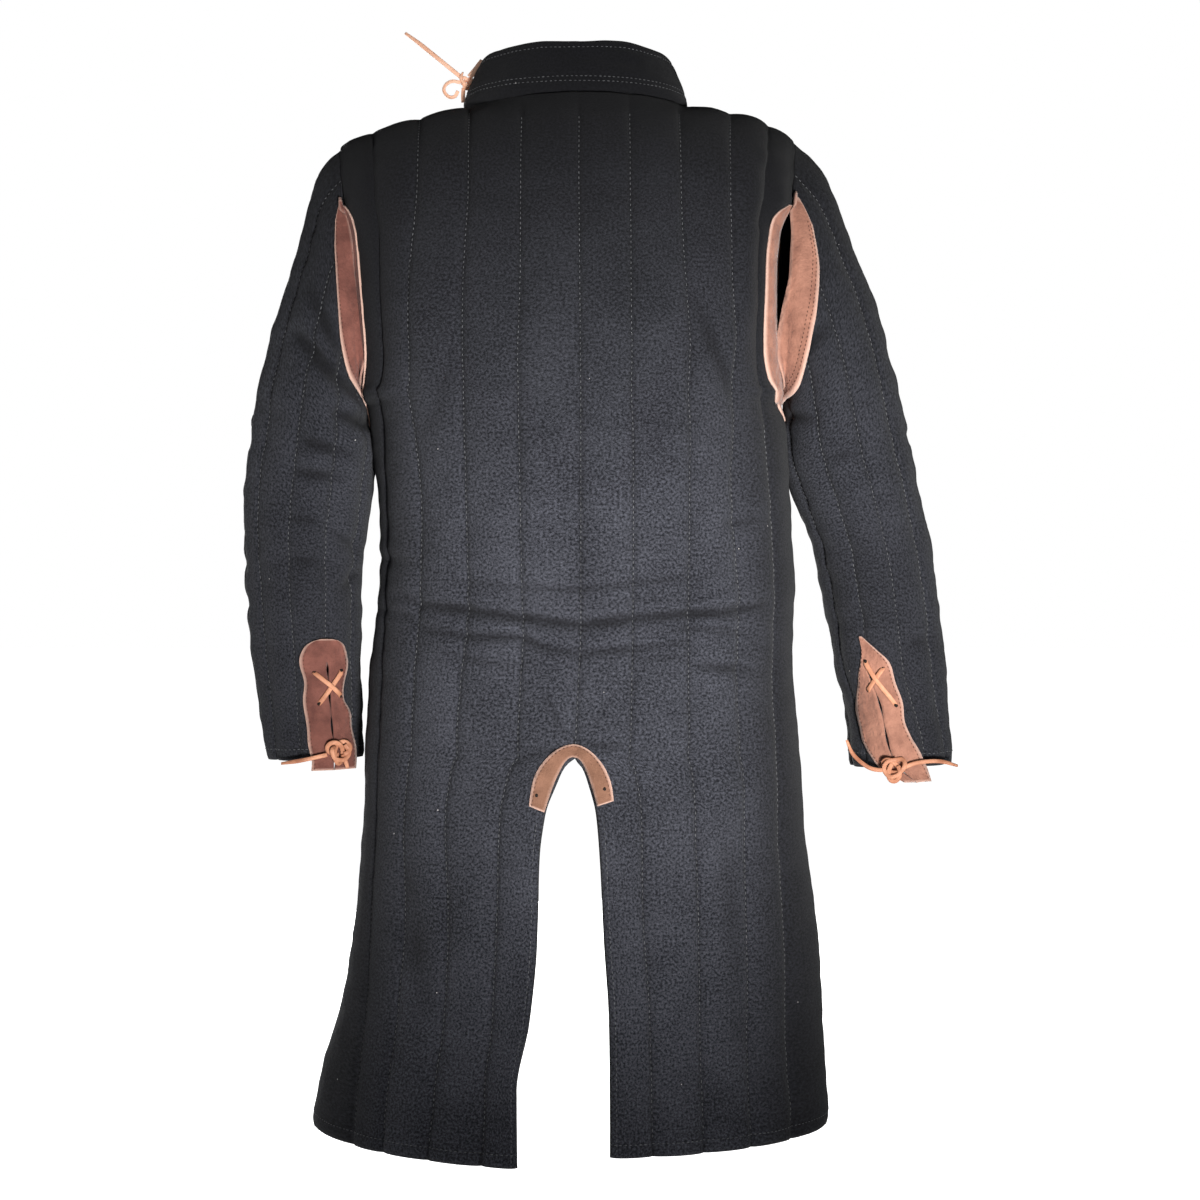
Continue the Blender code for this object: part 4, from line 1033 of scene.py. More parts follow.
SEWING = Stitches("quilting_stitches", THREAD, "canvas")
TAN_SEWING = Stitches("leather_stitches", TAN_THREAD, "leather")
SLOTS = Stitches("lace_holes", HOLE_SHADE, "leather")

# %% [markdown]
# ## The back and the front
# The padding stands 3 to 4 mm high between rows. It flattens to nothing at the shoulder and side seams,
# and the cloth rolls in at the hem and along the slits, where the layers are turned in and sewn.

# %% Heights of the grid's rows
CANVAS_THICK = 0.0032
SEAM_LAP = 0.0014  # the panels lap by this at the side seams
SEAM_FLAT = 0.02  # the padding flattens over this width beside a side seam
FRONT_FOLDS_MOVE = (0.011, -0.017)
FOLDS_STRONGER = {1: 1.4, -1: 1.0}
SIDE_SHADE = 0.72
SIDE_SHADE_ROWS = (2.4, 4.4)  # painted shade: the cloth is painted darker from one of these rows to the other
HEIGHTS = np.concatenate([
    np.linspace(HEM_Z, SLIT_TOP, 92)[:-1],
    np.linspace(SLIT_TOP, ARMPIT_Z, 86)[:-1],
    np.linspace(ARMPIT_Z, SHOULDER_Z, 50)[:-1],
    np.linspace(SHOULDER_Z, SHOULDER_Z + OVER, 27),
])
SHARES = np.array(share_list(0, 5))
NECK_ROW = NECK_SHARE * 5


def half_panel(face, side):
    """Base points and normals of half a panel, from the middle out."""
    shares = SHARES
    if face < 0 and side > 0:
        shares = np.sort(np.append(shares[np.abs(shares - NECK_ROW) > 0.02], NECK_ROW))
    base = np.stack([body_row(face, side, far_of(face, side, shares, v), v) for v in HEIGHTS], axis=1)
    normals = normals_of(base) * (-side * face)
    return shares, base, normals


def relief(face, shares, base, uv):
    """How far the finished cloth stands off its base: padding, rows, folds and turned edges."""
    heights = HEIGHTS[None, :]
    rise = np.repeat(puffed(shares, BODY_CHANNEL)[:, None], len(HEIGHTS), axis=1)
    rise = rise * (1 - 0.92 * step(SHOULDER_Z + 0.6 * OVER, SHOULDER_Z + OVER, heights))
    side_seam = (5.0 - shares[:, None]) * HALF_GIRTH / 5
    rise = rise * step(0.0, SEAM_FLAT, side_seam) - SEAM_LAP * np.exp(-((side_seam / 0.003) ** 2))
    rise = rise + puckered(base, shares, BODY_CHANNEL, 3 + face)
    rise = rise + 0.0018 * rough(base, 0.060, 5)
    rise = rise + 0.0010 * rough(base * np.array([1.0, 1.0, 1.5]), 0.024, 6)
    seen_x, seen_z = as_seen(base)
    if face < 0:
        seen_x, seen_z = FRONT_FOLDS_MOVE[0] - base[..., 0], base[..., 2] + FRONT_FOLDS_MOVE[1]
    pushed = FOLDS_STRONGER[face] * folded(seen_x, seen_z, BODY_FOLDS)
    pushed = pushed * (0.8 + 0.6 * rough(base, 0.045, 31))
    side = 1 if base[-1, 0, 0] > MIDDLE else -1
    rise = rise + pushed + body_swell(side, heights, side_seam)
    rise = rise - TURNED_IN * np.exp(-(heights - HEM_Z) / TURNED_WIDTH)
    slit = np.where(heights < SLIT_TOP, uv[..., 0], 1.0)
    return rise - TURNED_IN * np.exp(-slit / TURNED_WIDTH), pushed


def painted_shade_in_rows(shares, channel, pushed):
    """Mask of painted shade where the cloth lies deep: rows of stitching, and folds pushed in by some
    depth.
    """
    rows = 0.6 * np.exp(-((from_row(shares, channel) / 0.0015) ** 2))
    return np.maximum(rows[:, None], np.clip(-pushed / 0.0045, 0.0, 0.75))


def neck_gap(v):
    """Half the opening of the neck slit at a height. It grows wider towards the neck."""
    return (0.0012 + 0.0018 * step(NECK_SLIT_TO, -0.10, v)) * (v > NECK_SLIT_TO)


def panel_cloth(name, face):
    mesh = bmesh.new()
    halves = {side: half_panel(face, side) for side in (1, -1)}
    whole = HEIGHTS >= SLIT_TOP
    middle = unit(halves[1][2][0] + halves[-1][2][0])
    for side, (shares, base, normals) in halves.items():
        normals[0, whole] = middle[whole]
        uv = uv_of(base)
        rise, pushed = relief(face, shares, base, uv)
        points = base + normals * rise[..., None]
        points[-1, :, 1] -= face * SEAM_LAP
        uv[..., 0] *= side
        # Painted shade: the cloth is painted darker towards its sides, and in its rows and folds.
        painted_shade_mask = SIDE_SHADE * step(*SIDE_SHADE_ROWS, shares)[:, None]
        sunk = np.maximum(painted_shade_in_rows(shares, BODY_CHANNEL, pushed), painted_shade_mask)
        if face < 0 and side > 0:
            cut = int(np.argmin(np.abs(shares - NECK_ROW)))
            shift = np.exp(-np.abs(shares - NECK_ROW)[:, None] * 0.05 / 0.006) * neck_gap(HEIGHTS)[None, :]
            for part, keep in ((-1, slice(None, cut + 1)), (1, slice(cut, None))):
                half = points[keep].copy()
                half[..., 0] += part * shift[keep]
                add_grid(mesh, half, uv[keep], sunk[keep])
        else:
            add_grid(mesh, points, uv, sunk)
        sew_panel(face, side, shares, points, normals, uv)
    join_and_turn(mesh, (0, face, 0))
    canvas_piece(name, mesh, CANVAS_THICK)


def sew_panel(face, side, shares, points, normals, uv):
    """Rows of quilting, the hem's row and the slit's row on one half of a panel."""
    for row in range(0 if side > 0 else 1, 5):
        column = int(np.argmin(np.abs(shares - row)))
        low = SLIT_TOP + 0.012 if row == 0 else HEM_Z + 0.014
        keep = (HEIGHTS > low) & (HEIGHTS < SHOULDER_Z + 0.075)
        if row == 4:
            keep &= HEIGHTS < ARMPIT_Z - 0.012
        SEWING.line(points[column, keep], normals[column, keep], **ROW_STITCH)
    level = int(np.argmin(np.abs(HEIGHTS - (HEM_Z + 0.0105))))
    SEWING.line(points[:, level], normals[:, level], **HEM_STITCH)
    below = HEIGHTS < SLIT_TOP - 0.055
    column = int(np.argmin(np.abs(uv[:, 0, 0] * side - 0.0085)))
    SEWING.line(points[column, below], normals[column, below], **HEM_STITCH)

# %% Make both panels
panel_cloth("back", 1)
panel_cloth("front", -1)

# %% [markdown]
# ## Sleeves
# A sleeve is one padded piece, sewn into a tube along its back seam. That seam runs down to the slit of
# the cuff. The grid's first and last columns meet there, and below the slit's top they part.

# %% Sleeve grid
CUFF_DRIFT = {1: 3.0, -1: 15.0}  # degrees by which the slit turns outwards towards the cuff's edge
SLEEVE_PUFF = 0.85
LOW_SHADE = 0.42
LOW_SHADE_RINGS = (4.0, 8.0)  # painted shade: a sleeve is painted darker from one of these rings to the other


def cuff_gap(along):
    """Half the opening of the cuff's slit, in degrees round the arm."""
    opening = step(CUFF_SLIT_FROM, CUFF_SLIT_FROM + 0.15, along)
    return (1.6 + 1.8 * step(CUFF_SLIT_FROM, 12, along)) * opening


def slit_angle(side, along):
    return CUFF_SLIT_ANGLE - CUFF_DRIFT[side] * step(9.9, 12.0, along)


def sleeve_angles(side, shares, along):
    ends = np.clip(1 - shares / 0.6, 0, 1) - np.clip(1 - (10 - shares) / 0.6, 0, 1)
    return slit_angle(side, along) + 36 * shares + cuff_gap(along) * ends


def sleeve_relief(side, shares, alongs, base):
    """How far a sleeve's cloth stands off its base. It is calm where it faces the body."""
    rise = np.repeat(puffed(shares, SLEEVE_CHANNEL)[:, None], len(alongs), axis=1) * SLEEVE_PUFF
    rise = rise * step(0.0, 0.5, alongs)[None, :]
    rise = rise + puckered(base, shares, SLEEVE_CHANNEL, 11 + side)
    rise = rise + 0.0022 * rough(base, 0.050, 13)
    rise = rise + 0.0013 * rough(base * np.array([1.0, 1.0, 1.6]), 0.022, 14)
    seen_x, seen_z = as_seen(base)
    folds = SLEEVE_FOLDS[side]
    turned = [Fold([(552 * side - x, z - 21) for x, z in f.points], f.depth, f.width) for f in folds]
    pushed = 1.5 * folded(seen_x, seen_z, folds) * step(-0.02, 0.01, base[..., 1])
    pushed = pushed + 0.8 * folded(seen_x, seen_z, turned) * step(-0.02, 0.01, -base[..., 1])
    inward = (base.mean(axis=0)[None] - base)[..., 0] * side
    facing = np.clip(inward / SLEEVE_INSIDE, 0.0, 1.0)
    calm = 1 - facing * (1 - step(1.6, 3.0, alongs))[None, :]
    pushed = pushed * (0.8 + 0.6 * rough(base, 0.045, 32)) * calm
    rise = rise * (0.4 + 0.6 * calm)
    rise = rise + pushed + sleeve_swell(side, base[..., 2], inward)
    edge = (12.0 - alongs)[None, :] * RING_BELOW
    rise = rise - TURNED_IN * np.exp(-edge / TURNED_WIDTH)
    return rise - 0.0012 * np.exp(-alongs[None, :] * 0.02 / 0.003), pushed


def sew_sleeve(shares, alongs, points, normals):
    """Rows of quilting down a sleeve, and the row round its cuff."""
    for row in range(10):
        column = int(np.argmin(np.abs(shares - row)))
        keep = alongs < (11.75 if row else CUFF_SLIT_FROM - 0.3)
        keep &= points[column, :, 2] < -0.05
        if keep.sum() > 3:
            SEWING.line(points[column, keep], normals[column, keep], **ROW_STITCH)
    level = int(np.argmin(np.abs(alongs - 11.76)))
    SEWING.line(points[:, level], normals[:, level], **HEM_STITCH)


def sleeve_cloth(name, side):
    shares = np.array(share_list(0, 10))
    above = np.linspace(0, CUFF_SLIT_FROM, 122)[:-1]
    alongs = np.concatenate([above, np.linspace(CUFF_SLIT_FROM, 12, 29)])
    base = np.stack([sleeve_row(side, sleeve_angles(side, shares, a), a) for a in alongs], axis=1)
    normals = normals_of(base)
    axis = base.mean(axis=0, keepdims=True)
    if ((base - axis) * normals).sum() < 0:
        normals = -normals
    closed = alongs <= CUFF_SLIT_FROM
    both = unit(normals[0] + normals[-1])
    normals[0, closed] = both[closed]
    normals[-1, closed] = both[closed]
    rise, pushed = sleeve_relief(side, shares, alongs, base)
    rise[-1] = rise[0]
    points = base + normals * rise[..., None]
    mesh = bmesh.new()
    # Painted shade: the sleeve is painted darker towards the cuff, and in its rows and folds.
    painted_shade_mask = LOW_SHADE * step(*LOW_SHADE_RINGS, alongs)[None, :]
    add_grid(mesh, points, uv_of(base), np.maximum(painted_shade_in_rows(shares, SLEEVE_CHANNEL, pushed), painted_shade_mask))
    join_and_turn(mesh, (side, 0, 0))
    canvas_piece(name, mesh, CANVAS_THICK)
    sew_sleeve(shares, alongs, points, normals)

# %% Make both sleeves
for side in (1, -1):
    sleeve_cloth("sleeve_" + word(side), side)

# %% [markdown]
# ## Collar
# The collar stands 5 cm high and leans in a little. It is sewn flat, with one row near its top edge and
# two close together near its foot, and it parts just in front of the left shoulder.

# %% Collar
COLLAR_HEIGHT = {1: 0.050, -1: 0.047}
COLLAR_SIDE_HEIGHT = 0.044
COLLAR_WIDER = {1: 0.006, -1: 0.0015}
COLLAR_LEAN = 0.018
COLLAR_SLIT = 358.0
COLLAR_GAP = 1.5
COLLAR_TUCK = 0.0015  # how far the foot of the collar is tucked inside the panels
COLLAR_ROWS = (0.86, 0.20, 0.27)  # shares of the collar's height
COLLAR_THICK = 0.0050


def collar_point(turn, up):
    """A place on the collar, by its angle round the neck and its share of the height."""
    angle = math.radians(turn)
    face = 1 if math.sin(angle) >= 0 else -1
    inward = abs(math.sin(angle))
    side = 1 if math.cos(angle) >= 0 else -1
    wide = abs(CORNER[side] - MIDDLE) + COLLAR_WIDER[side]
    foot = NECK_SIDE_Z + (NECK_Z[face] - NECK_SIDE_Z) * inward**2 + 0.0015
    tall = COLLAR_SIDE_HEIGHT + (COLLAR_HEIGHT[face] - COLLAR_SIDE_HEIGHT) * inward
    shrink = COLLAR_LEAN * max(up, 0.0) ** 1.3 / wide
    tuck = COLLAR_TUCK * max(0.0, -up) / 0.1
    x = MIDDLE + (wide * (1 - shrink) - tuck) * math.cos(angle)
    y = (NECK_DEPTH[face] * (1 - 0.4 * shrink) - face * tuck) * math.sin(angle)
    wave = 0.0012 * math.sin(3 * angle + 0.6) + 0.0008 * math.sin(7 * angle)
    return Vector((x, y, foot + tall * up + wave * up**3))


def collar_cloth():
    turns = np.linspace(COLLAR_SLIT + COLLAR_GAP, COLLAR_SLIT + 360 - COLLAR_GAP, 181)
    ups = np.concatenate([[-0.13, -0.07, 0.0, 0.03, 0.06], np.linspace(0.09, 0.91, 19), [0.95, 0.98, 1.0]])
    base = np.array([[collar_point(turn, up) for up in ups] for turn in turns])
    normals = normals_of(base)
    if (normals * (base - np.array([MIDDLE, 0.0, 0.0])))[..., :2].sum() < 0:
        normals = -normals
    body = 1 - np.exp(-np.maximum(ups, 0.0) / 0.05)
    body = body * (1 - np.exp(-(1 - ups) / 0.05))
    depths = zip(COLLAR_ROWS, (1.0, 1.0, 0.8))
    rows = sum(depth * np.exp(-(((ups - up) / 0.022) ** 2)) for up, depth in depths)
    rise = (0.0016 * body - 0.0010 * rows)[None, :] + 0.0009 * rough(base, 0.030, 21)
    crease = trough(base[..., 0], base[..., 2], Fold([(14, 30), (-28, 27), (-60, 24)], 1.6, 5.0))
    rise = rise + crease * (base[..., 1] > 0) + 0.0005 * rough(base, 0.011, 22)
    points = base + normals * rise[..., None]
    mesh = bmesh.new()
    add_grid(mesh, points, uv_of(base))
    join_and_turn(mesh, (0, 1, 0), merge=None)
    canvas_piece("collar", mesh, COLLAR_THICK)
    for up in COLLAR_ROWS:
        level = int(np.argmin(np.abs(ups - up)))
        SEWING.line(points[:, level], normals[:, level], **COLLAR_STITCH)


collar_cloth()

# %% [markdown]
# ## Leather edgings
# Split leather 2 mm thick is sewn flat over each opening's edge. A strip is a grid laid on the cloth. Its
# cut edges are paler than its face, so an attribute marks the points along them.

# %% Places on the finished cloth
def cloth_normal(before, after, below, above, centre):
    """Normals from the points on both sides of each place, turned away from the centre."""
    normal = unit(np.cross(after - before, above - below))
    flip = (normal * (before - centre)).sum(axis=-1, keepdims=True) < 0
    return np.where(flip, -normal, normal)


def on_body(face, side, far, v, lift):
    """Points above the cloth of a panel, for an array of places out from the middle at one height."""
    far = np.asarray(far, float)
    base = body_row(face, side, far, v)
    low, high = np.clip(far - 0.01, 0, 1), np.clip(far + 0.01, 0, 1)
    under, over = max(v - 0.003, HEM_Z), min(v + 0.003, SHOULDER_Z + OVER)
    normal = cloth_normal(
        body_row(face, side, low, v), body_row(face, side, high, v),
        body_row(face, side, far, under), body_row(face, side, far, over),
        np.array([MIDDLE, 0.0, v - 0.05]),
    )
    rows = np.array([far_of(face, side, n, v) for n in range(6)])
    flat = step(0.0, SEAM_FLAT, (1 - far) * HALF_GIRTH_UNDER)
    pad = puffed(np.interp(far, rows, range(6)), BODY_CHANNEL) * flat
    pad = np.maximum(pad, 0.0) + body_swell(side, v, (1 - far) * HALF_GIRTH)
    return base + normal * (pad + lift)[:, None], normal


def on_sleeve(side, angles, along, lift):
    """Points above the cloth of a sleeve, for an array of angles at one ring."""
    angles = np.asarray(angles, float)
    base = sleeve_row(side, angles, along)
    a, b = max(along - 0.12, 0.0), min(along + 0.12, 12.4)
    centre = sleeve_row(side, np.array([0.0, 180.0]), along).mean(axis=0)
    normal = cloth_normal(
        sleeve_row(side, angles - 2, along), sleeve_row(side, angles + 2, along),
        sleeve_row(side, angles, a), sleeve_row(side, angles, b),
        centre,
    )
    pad = PUFF * SLEEVE_PUFF * float(step(0.0, 0.5, along))
    pad = pad + sleeve_swell(side, base[:, 2], (centre[0] - base[:, 0]) * side)
    return base + normal * (pad + lift)[:, None], normal

# %% A strip of leather from a grid of places
LEATHER_THICK = 0.0020
LEATHER_LIFT = 0.0020
EDGE_WIDTH = 0.0006


def leather_strip(node, grids, centre, finish=LEATHER, inner_edge=0.4, name=None):
    """One or two grids laid on the cloth, with faces turned away from a point inside the garment."""
    mesh = bmesh.new()
    for grid in grids:
        uv = uv_of(grid)
        outer = (uv[-1:, :, 0] - uv[..., 0] < EDGE_WIDTH) * 1.0
        inner = (uv[..., 0] < EDGE_WIDTH) * inner_edge
        ends = (np.minimum(uv[..., 1], uv[:, -1:, 1] - uv[..., 1]) < EDGE_WIDTH) * 1.0
        add_grid(mesh, grid, uv, edges=np.maximum(np.maximum(outer, inner), ends))
    bmesh.ops.remove_doubles(mesh, verts=mesh.verts[:], dist=1e-6)
    bmesh.ops.recalc_face_normals(mesh, faces=mesh.faces[:])
    if sum((f.calc_center_median() - Vector(centre)).dot(f.normal) for f in mesh.faces) < 0:
        bmesh.ops.reverse_faces(mesh, faces=mesh.faces[:])
    piece = finish_piece(name or node + "_leather", mesh, [finish], node, LEATHER_THICK)


# The right side takes the copy of the leather that is painted lighter.
def side_leather(side):
    return LEATHER if side > 0 else RIGHT_LEATHER_PAINTED_LIGHTER

# %% Underarm edgings: places of their edges
Band = namedtuple("Band", "edge width far")
BODY_BAND = table(Band, [
    (-0.112, 0.055, -0.112),
    (-0.118, 0.072, -0.118),
    (-0.128, 0.080, -0.128),
    (-0.160, 0.090, -0.160),
    (-0.200, 0.090, -0.205),
    (-0.240, 0.090, -0.256),
    (-0.260, 0.085, -0.281),
    (-0.273, 0.075, -0.298),
    (-0.285, 0.055, -0.312),
    (-0.293, 0.030, -0.319),
])
UNDERARM = (-0.2998, -0.322)
BODY_STRIP_WIDER = {1: 0.6, -1: 2.2}  # the right strip shows more of its width
FRONT_LAP = 0.011  # in front the strips reach past the cloth and hide the gap behind them


def underarm_body_trim(node, side):
    """A strip round the body's free edge: down the back, under the arm and up the front."""
    across = np.linspace(0, 1, 7)
    halves = {1: [], -1: []}
    for at in np.linspace(0, len(BODY_BAND) - 1, 55):
        near_z, width, far_z = (float(np.interp(at, range(len(BODY_BAND)), row)) for row in zip(*BODY_BAND))
        end = 1 - min(1.0, (BODY_BAND[0].edge - near_z) / 0.018)
        width *= BODY_STRIP_WIDER[side] * max(0.3, math.sqrt(1 - end**2))
        for face in halves:
            row = []
            for t in across:
                v = near_z + (far_z - near_z) * t
                point, _ = on_body(face, side, [1.0 - width * t, 0.97], v, LEATHER_LIFT)
                lap = FRONT_LAP * (1 - t) * (face < 0) * (1 - end)
                row.append(point[0] + unit(point[0] - point[1]) * lap)
            halves[face].append(row)
    under = []
    for t in across:
        v = UNDERARM[0] + (UNDERARM[1] - UNDERARM[0]) * t
        back, front = (on_body(face, side, [1.0], v, LEATHER_LIFT)[0][0] for face in (1, -1))
        under.append((back + front) / 2)
    grid = grid_of(halves[1] + [under] + halves[-1][::-1])
    leather_strip(node, [grid], (0.0, 0.0, -0.2), side_leather(side))


# Places along half of a sleeve strip, then its width on the sleeve and its reach over the armhole there
SLEEVE_STRIP_AT = [0.0, 0.03, 0.08, 0.16, 0.22, 0.30, 0.40, 0.50]
SLEEVE_STRIP_WIDE = {
    1: [0.0020, 0.0090, 0.0150, 0.0200, 0.0235, 0.0240, 0.0180, 0.0120],
    -1: [0.0060, 0.0250, 0.0360, 0.0400, 0.0390, 0.0330, 0.0200, 0.0130],
}
SLEEVE_STRIP_OVER = {
    1: [0.0030, 0.0040, 0.0070, 0.0100, 0.0120, 0.0120, 0.0100, 0.0060],
    -1: [0.0040, 0.0040, 0.0010, 0.0010, 0.0070, 0.0120, 0.0120, 0.0070],
}
FRONT_OVER = 0.006


def on_sleeve_head(side, angle, out):
    """A place out metres from the sleeve head's edge. A negative one reaches towards the body."""
    near, normal = on_sleeve(side, [angle], 0.02, LEATHER_LIFT)
    if out <= 0:
        face = 1 if angle < 180 else -1
        body, _ = on_body(face, side, [1.0], float(near[0][2]), LEATHER_LIFT + 0.002)
        return near[0] + unit(body[0] - near[0]) * -out, normal[0]
    further, _ = on_sleeve(side, [angle], 0.32, LEATHER_LIFT)
    along = 0.02 + 0.30 * out / np.linalg.norm(further[0] - near[0])
    point, normal = on_sleeve(side, [angle], along, LEATHER_LIFT)
    return point[0], normal[0]


def underarm_sleeve_trim(node, side):
    """A broader strip round the sleeve head's free edge."""
    across = np.linspace(0, 1, 9)
    points, normals = [], []
    for share in np.linspace(0, 1, 97):
        at = min(share, 1 - share)
        over = float(np.interp(at, SLEEVE_STRIP_AT, SLEEVE_STRIP_OVER[side]))
        over = max(over, FRONT_OVER) if share > 0.5 else over
        wide = float(np.interp(at, SLEEVE_STRIP_AT, SLEEVE_STRIP_WIDE[side]))
        wide *= 1 + 0.05 * math.sin(share * 27 + side)
        row = [on_sleeve_head(side, 60 + 240 * share, wide * t - over * (1 - t)) for t in across]
        points.append([p for p, _ in row])
        normals.append([n for _, n in row])
    grid, face = grid_of(points), grid_of(normals)
    for line in (7, 6) if side < 0 else (7,):
        TAN_SEWING.line(grid[line][3:-3], face[line][3:-3], **LEATHER_STITCH)
    leather_strip(node, [grid], (side * 0.215, 0.0, -0.17), side_leather(side))

# %% Make the four underarm edgings
for side in (1, -1):
    underarm_body_trim("underarm_body_trim_" + word(side), side)
    underarm_sleeve_trim("underarm_sleeve_trim_" + word(side), side)

# %% Leather arch over the back slit, with a row of stitches and two holes
Arch = namedtuple("Arch", "inner_x inner_z outer_x outer_z")
ARCH = table(Arch, [
    (0.0265, -0.6927, 0.0405, -0.6870),
    (0.0190, -0.6700, 0.0370, -0.6640),
    (0.0130, -0.6560, 0.0290, -0.6480),
    (0.0065, -0.6450, 0.0155, -0.6350),
    (0.0000, -0.6415, 0.0000, -0.6296),
    (-0.0070, -0.6450, -0.0145, -0.6350),
    (-0.0125, -0.6560, -0.0270, -0.6480),
    (-0.0175, -0.6700, -0.0345, -0.6640),
    (-0.0220, -0.6870, -0.0375, -0.6820),
])
ARCH_HOLES = ((0.0335, -0.6770), (-0.0290, -0.6710))


def on_back(x, z, lift):
    """The point and normal above the back panel at a given x and height."""
    side = 1 if x >= float(smooth(BODY, "centre", z)) else -1
    far = np.linspace(0.0, 0.6, 121)
    row = body_row(1, side, far, z)
    place = float(np.interp(side * x, side * row[:, 0], far))
    point, normal = on_body(1, side, [place], z, lift)
    return point[0], normal[0]


def on_curve(a, b, c, d, t):
    """A smooth way from b to c, where t goes from 0 to 1, with a before them and d after."""
    return 0.5 * (2 * b + (c - a) * t + (2 * a - 5 * b + 4 * c - d) * t**2 + (3 * b - a - 3 * c + d) * t**3)


def smooth_list(values, at):
    """A value part-way along an even list, on a curve through its neighbours."""
    k = min(int(at), len(values) - 2)
    near = (values[min(max(k + n, 0), len(values) - 1)] for n in (-1, 0, 1, 2))
    return on_curve(*near, at - k)


def slit_arch():
    points, normals = [], []
    for at in np.linspace(0, len(ARCH) - 1, 57):
        place = Arch(*(smooth_list(values, at) for values in zip(*ARCH)))
        row = []
        for t in np.linspace(0, 1, 7):
            x = place.inner_x + (place.outer_x - place.inner_x) * t
            z = place.inner_z + (place.outer_z - place.inner_z) * t
            row.append(on_back(x, z, LEATHER_LIFT + 0.0014 * (1 - t)))
        points.append([p for p, _ in row])
        normals.append([m for _, m in row])
    grid, face = grid_of(points), grid_of(normals)
    leather_strip("back_slit_arch", [grid], (0.0, -1.0, -0.65), ARCH_LEATHER)
    TAN_SEWING.line(grid[5], face[5], **LEATHER_STITCH)
    # Each hole is a near-black dash of painted shade.
    for x, z in ARCH_HOLES:
        point, normal = on_back(x, z, LEATHER_LIFT + 0.0006)
        SLOTS.dash(SLOTS.mesh, Vector(point), Vector((0, 0, 1)), Vector(normal), 0.0040, 0.0034, 0.0010)


slit_arch()

# %% Leather round the cuff slits: left edge, slit and right edge, in degrees round the arm
Tongue = namedtuple("Tongue", "along inner slit outer")
TONGUES = {
    1: table(Tongue, [
        (9.22, 124.0, 118.0, 112.0),
        (9.28, 133.0, 118.0, 103.0),
        (9.42, 139.0, 118.0, 95.0),
        (9.70, 142.0, 118.0, 91.0),
        (10.20, 137.0, 118.0, 93.0),
        (10.60, 135.0, 118.5, 92.0),
        (11.00, 144.0, 119.0, 92.0),
        (11.50, 146.0, 119.0, 93.0),
        (12.00, 147.0, 118.0, 93.0),
        (12.22, 146.0, 117.0, 93.0),
    ]),
    -1: table(Tongue, [
        (9.20, 123.5, 122.0, 121.0),
        (9.45, 124.0, 121.0, 110.0),
        (9.80, 126.0, 120.0, 98.0),
        (10.20, 133.0, 118.0, 94.0),
        (10.60, 141.0, 115.0, 92.0),
        (11.00, 145.0, 113.0, 91.0),
        (11.40, 142.0, 111.0, 86.0),
        (11.75, 130.0, 107.0, 77.0),
        (12.05, 118.0, 98.0, 70.0),
        (12.32, 96.0, 84.0, 67.0),
    ]),
}


def cuff_leather(node, side):
    """Two strips of leather that meet above the slit and part along it."""
    table = TONGUES[side]
    ends = table[0].along, table[-1].along
    alongs = np.concatenate([np.linspace(ends[0], 9.6, 10)[:-1], np.linspace(9.6, ends[1], 48)])
    halves = {1: [], -1: []}
    normals = {1: [], -1: []}
    for along in alongs:
        inner, slit, outer = (float(smooth(table, n, along)) for n in ("inner", "slit", "outer"))
        gap = 1.1 * float(step(9.75, 9.95, along)) * (1 + 0.5 * math.sin(along * 9 + side))
        lift = LEATHER_LIFT + 0.0006 * math.sin(along * 5.0) ** 2 * float(step(10.8, 12.0, along))
        for part, edge in ((1, inner), (-1, outer)):
            angles = np.linspace(slit + part * gap, edge + 0.8 * math.sin(along * 7 + part), 8)
            row, normal = on_sleeve(side, angles, along, lift)
            curl = np.exp(-np.linspace(0, 8, 8) / 1.2) * 0.0018 * float(step(9.9, 10.3, along))
            halves[part].append(row + normal * curl[:, None])
            normals[part].append(normal)
    grids = [grid_of(halves[part]) for part in (1, -1)]
    inside = (side * 0.27, -0.05, -0.60)
    leather_strip(node, grids, inside, side_leather(side), inner_edge=0.0)
    for part, grid in zip((1, -1), grids):
        TAN_SEWING.line(grid[6][6:], grid_of(normals[part])[6][6:], **LEATHER_STITCH)


for side in (1, -1):
    cuff_leather("cuff_trim_" + word(side), side)

# %% Leather round the neck slit in front
def neck_leather():
    heights = np.linspace(-0.245, -0.025, 56)
    halves = {1: [], -1: []}
    for v in heights:
        gap = float(neck_gap(v)) * float(step(NECK_SLIT_TO, NECK_SLIT_TO + 0.012, v))
        wide = 0.065 * (0.45 + 0.55 * float(step(-0.245, -0.228, v)))
        for part in (1, -1):
            far = NECK_SHARE + part * np.linspace(0.0, wide, 7)
            row, _ = on_body(-1, 1, far, v, LEATHER_LIFT)
            row[:, 0] += part * gap
            halves[part].append(row)
    grids = [grid_of(halves[part]) for part in (1, -1)]
    leather_strip("neck_slit_trim", grids, (0.1, 0.3, -0.1), name="neck_slit_leather")


neck_leather()

# %% [markdown]
# ## Thongs
# The laces are strips cut from soft leather, 4 to 5 mm wide and half as thick. A thong is a grid rolled
# into a flattened tube along its route. It twists a little on the way, as a real strip does.

# %% A flattened tube along a route
def curve_through(points, spacing):
    path = [Vector(p) for p in points]
    path = [path[0] * 2 - path[1]] + path + [path[-1] * 2 - path[-2]]
    fine = []
    for a, b, c, d in zip(path, path[1:], path[2:], path[3:]):
        for n in range(16):
            fine.append(on_curve(a, b, c, d, n / 16))
    fine.append(path[-2])
    along = np.concatenate([[0.0], np.cumsum([(q - p).length for p, q in zip(fine, fine[1:])])])
    count = max(4, round(along[-1] / spacing) + 1)
    places = np.linspace(0.0, along[-1], count)
    return [Vector([np.interp(at, along, [p[axis] for p in fine]) for axis in range(3)]) for at in places]


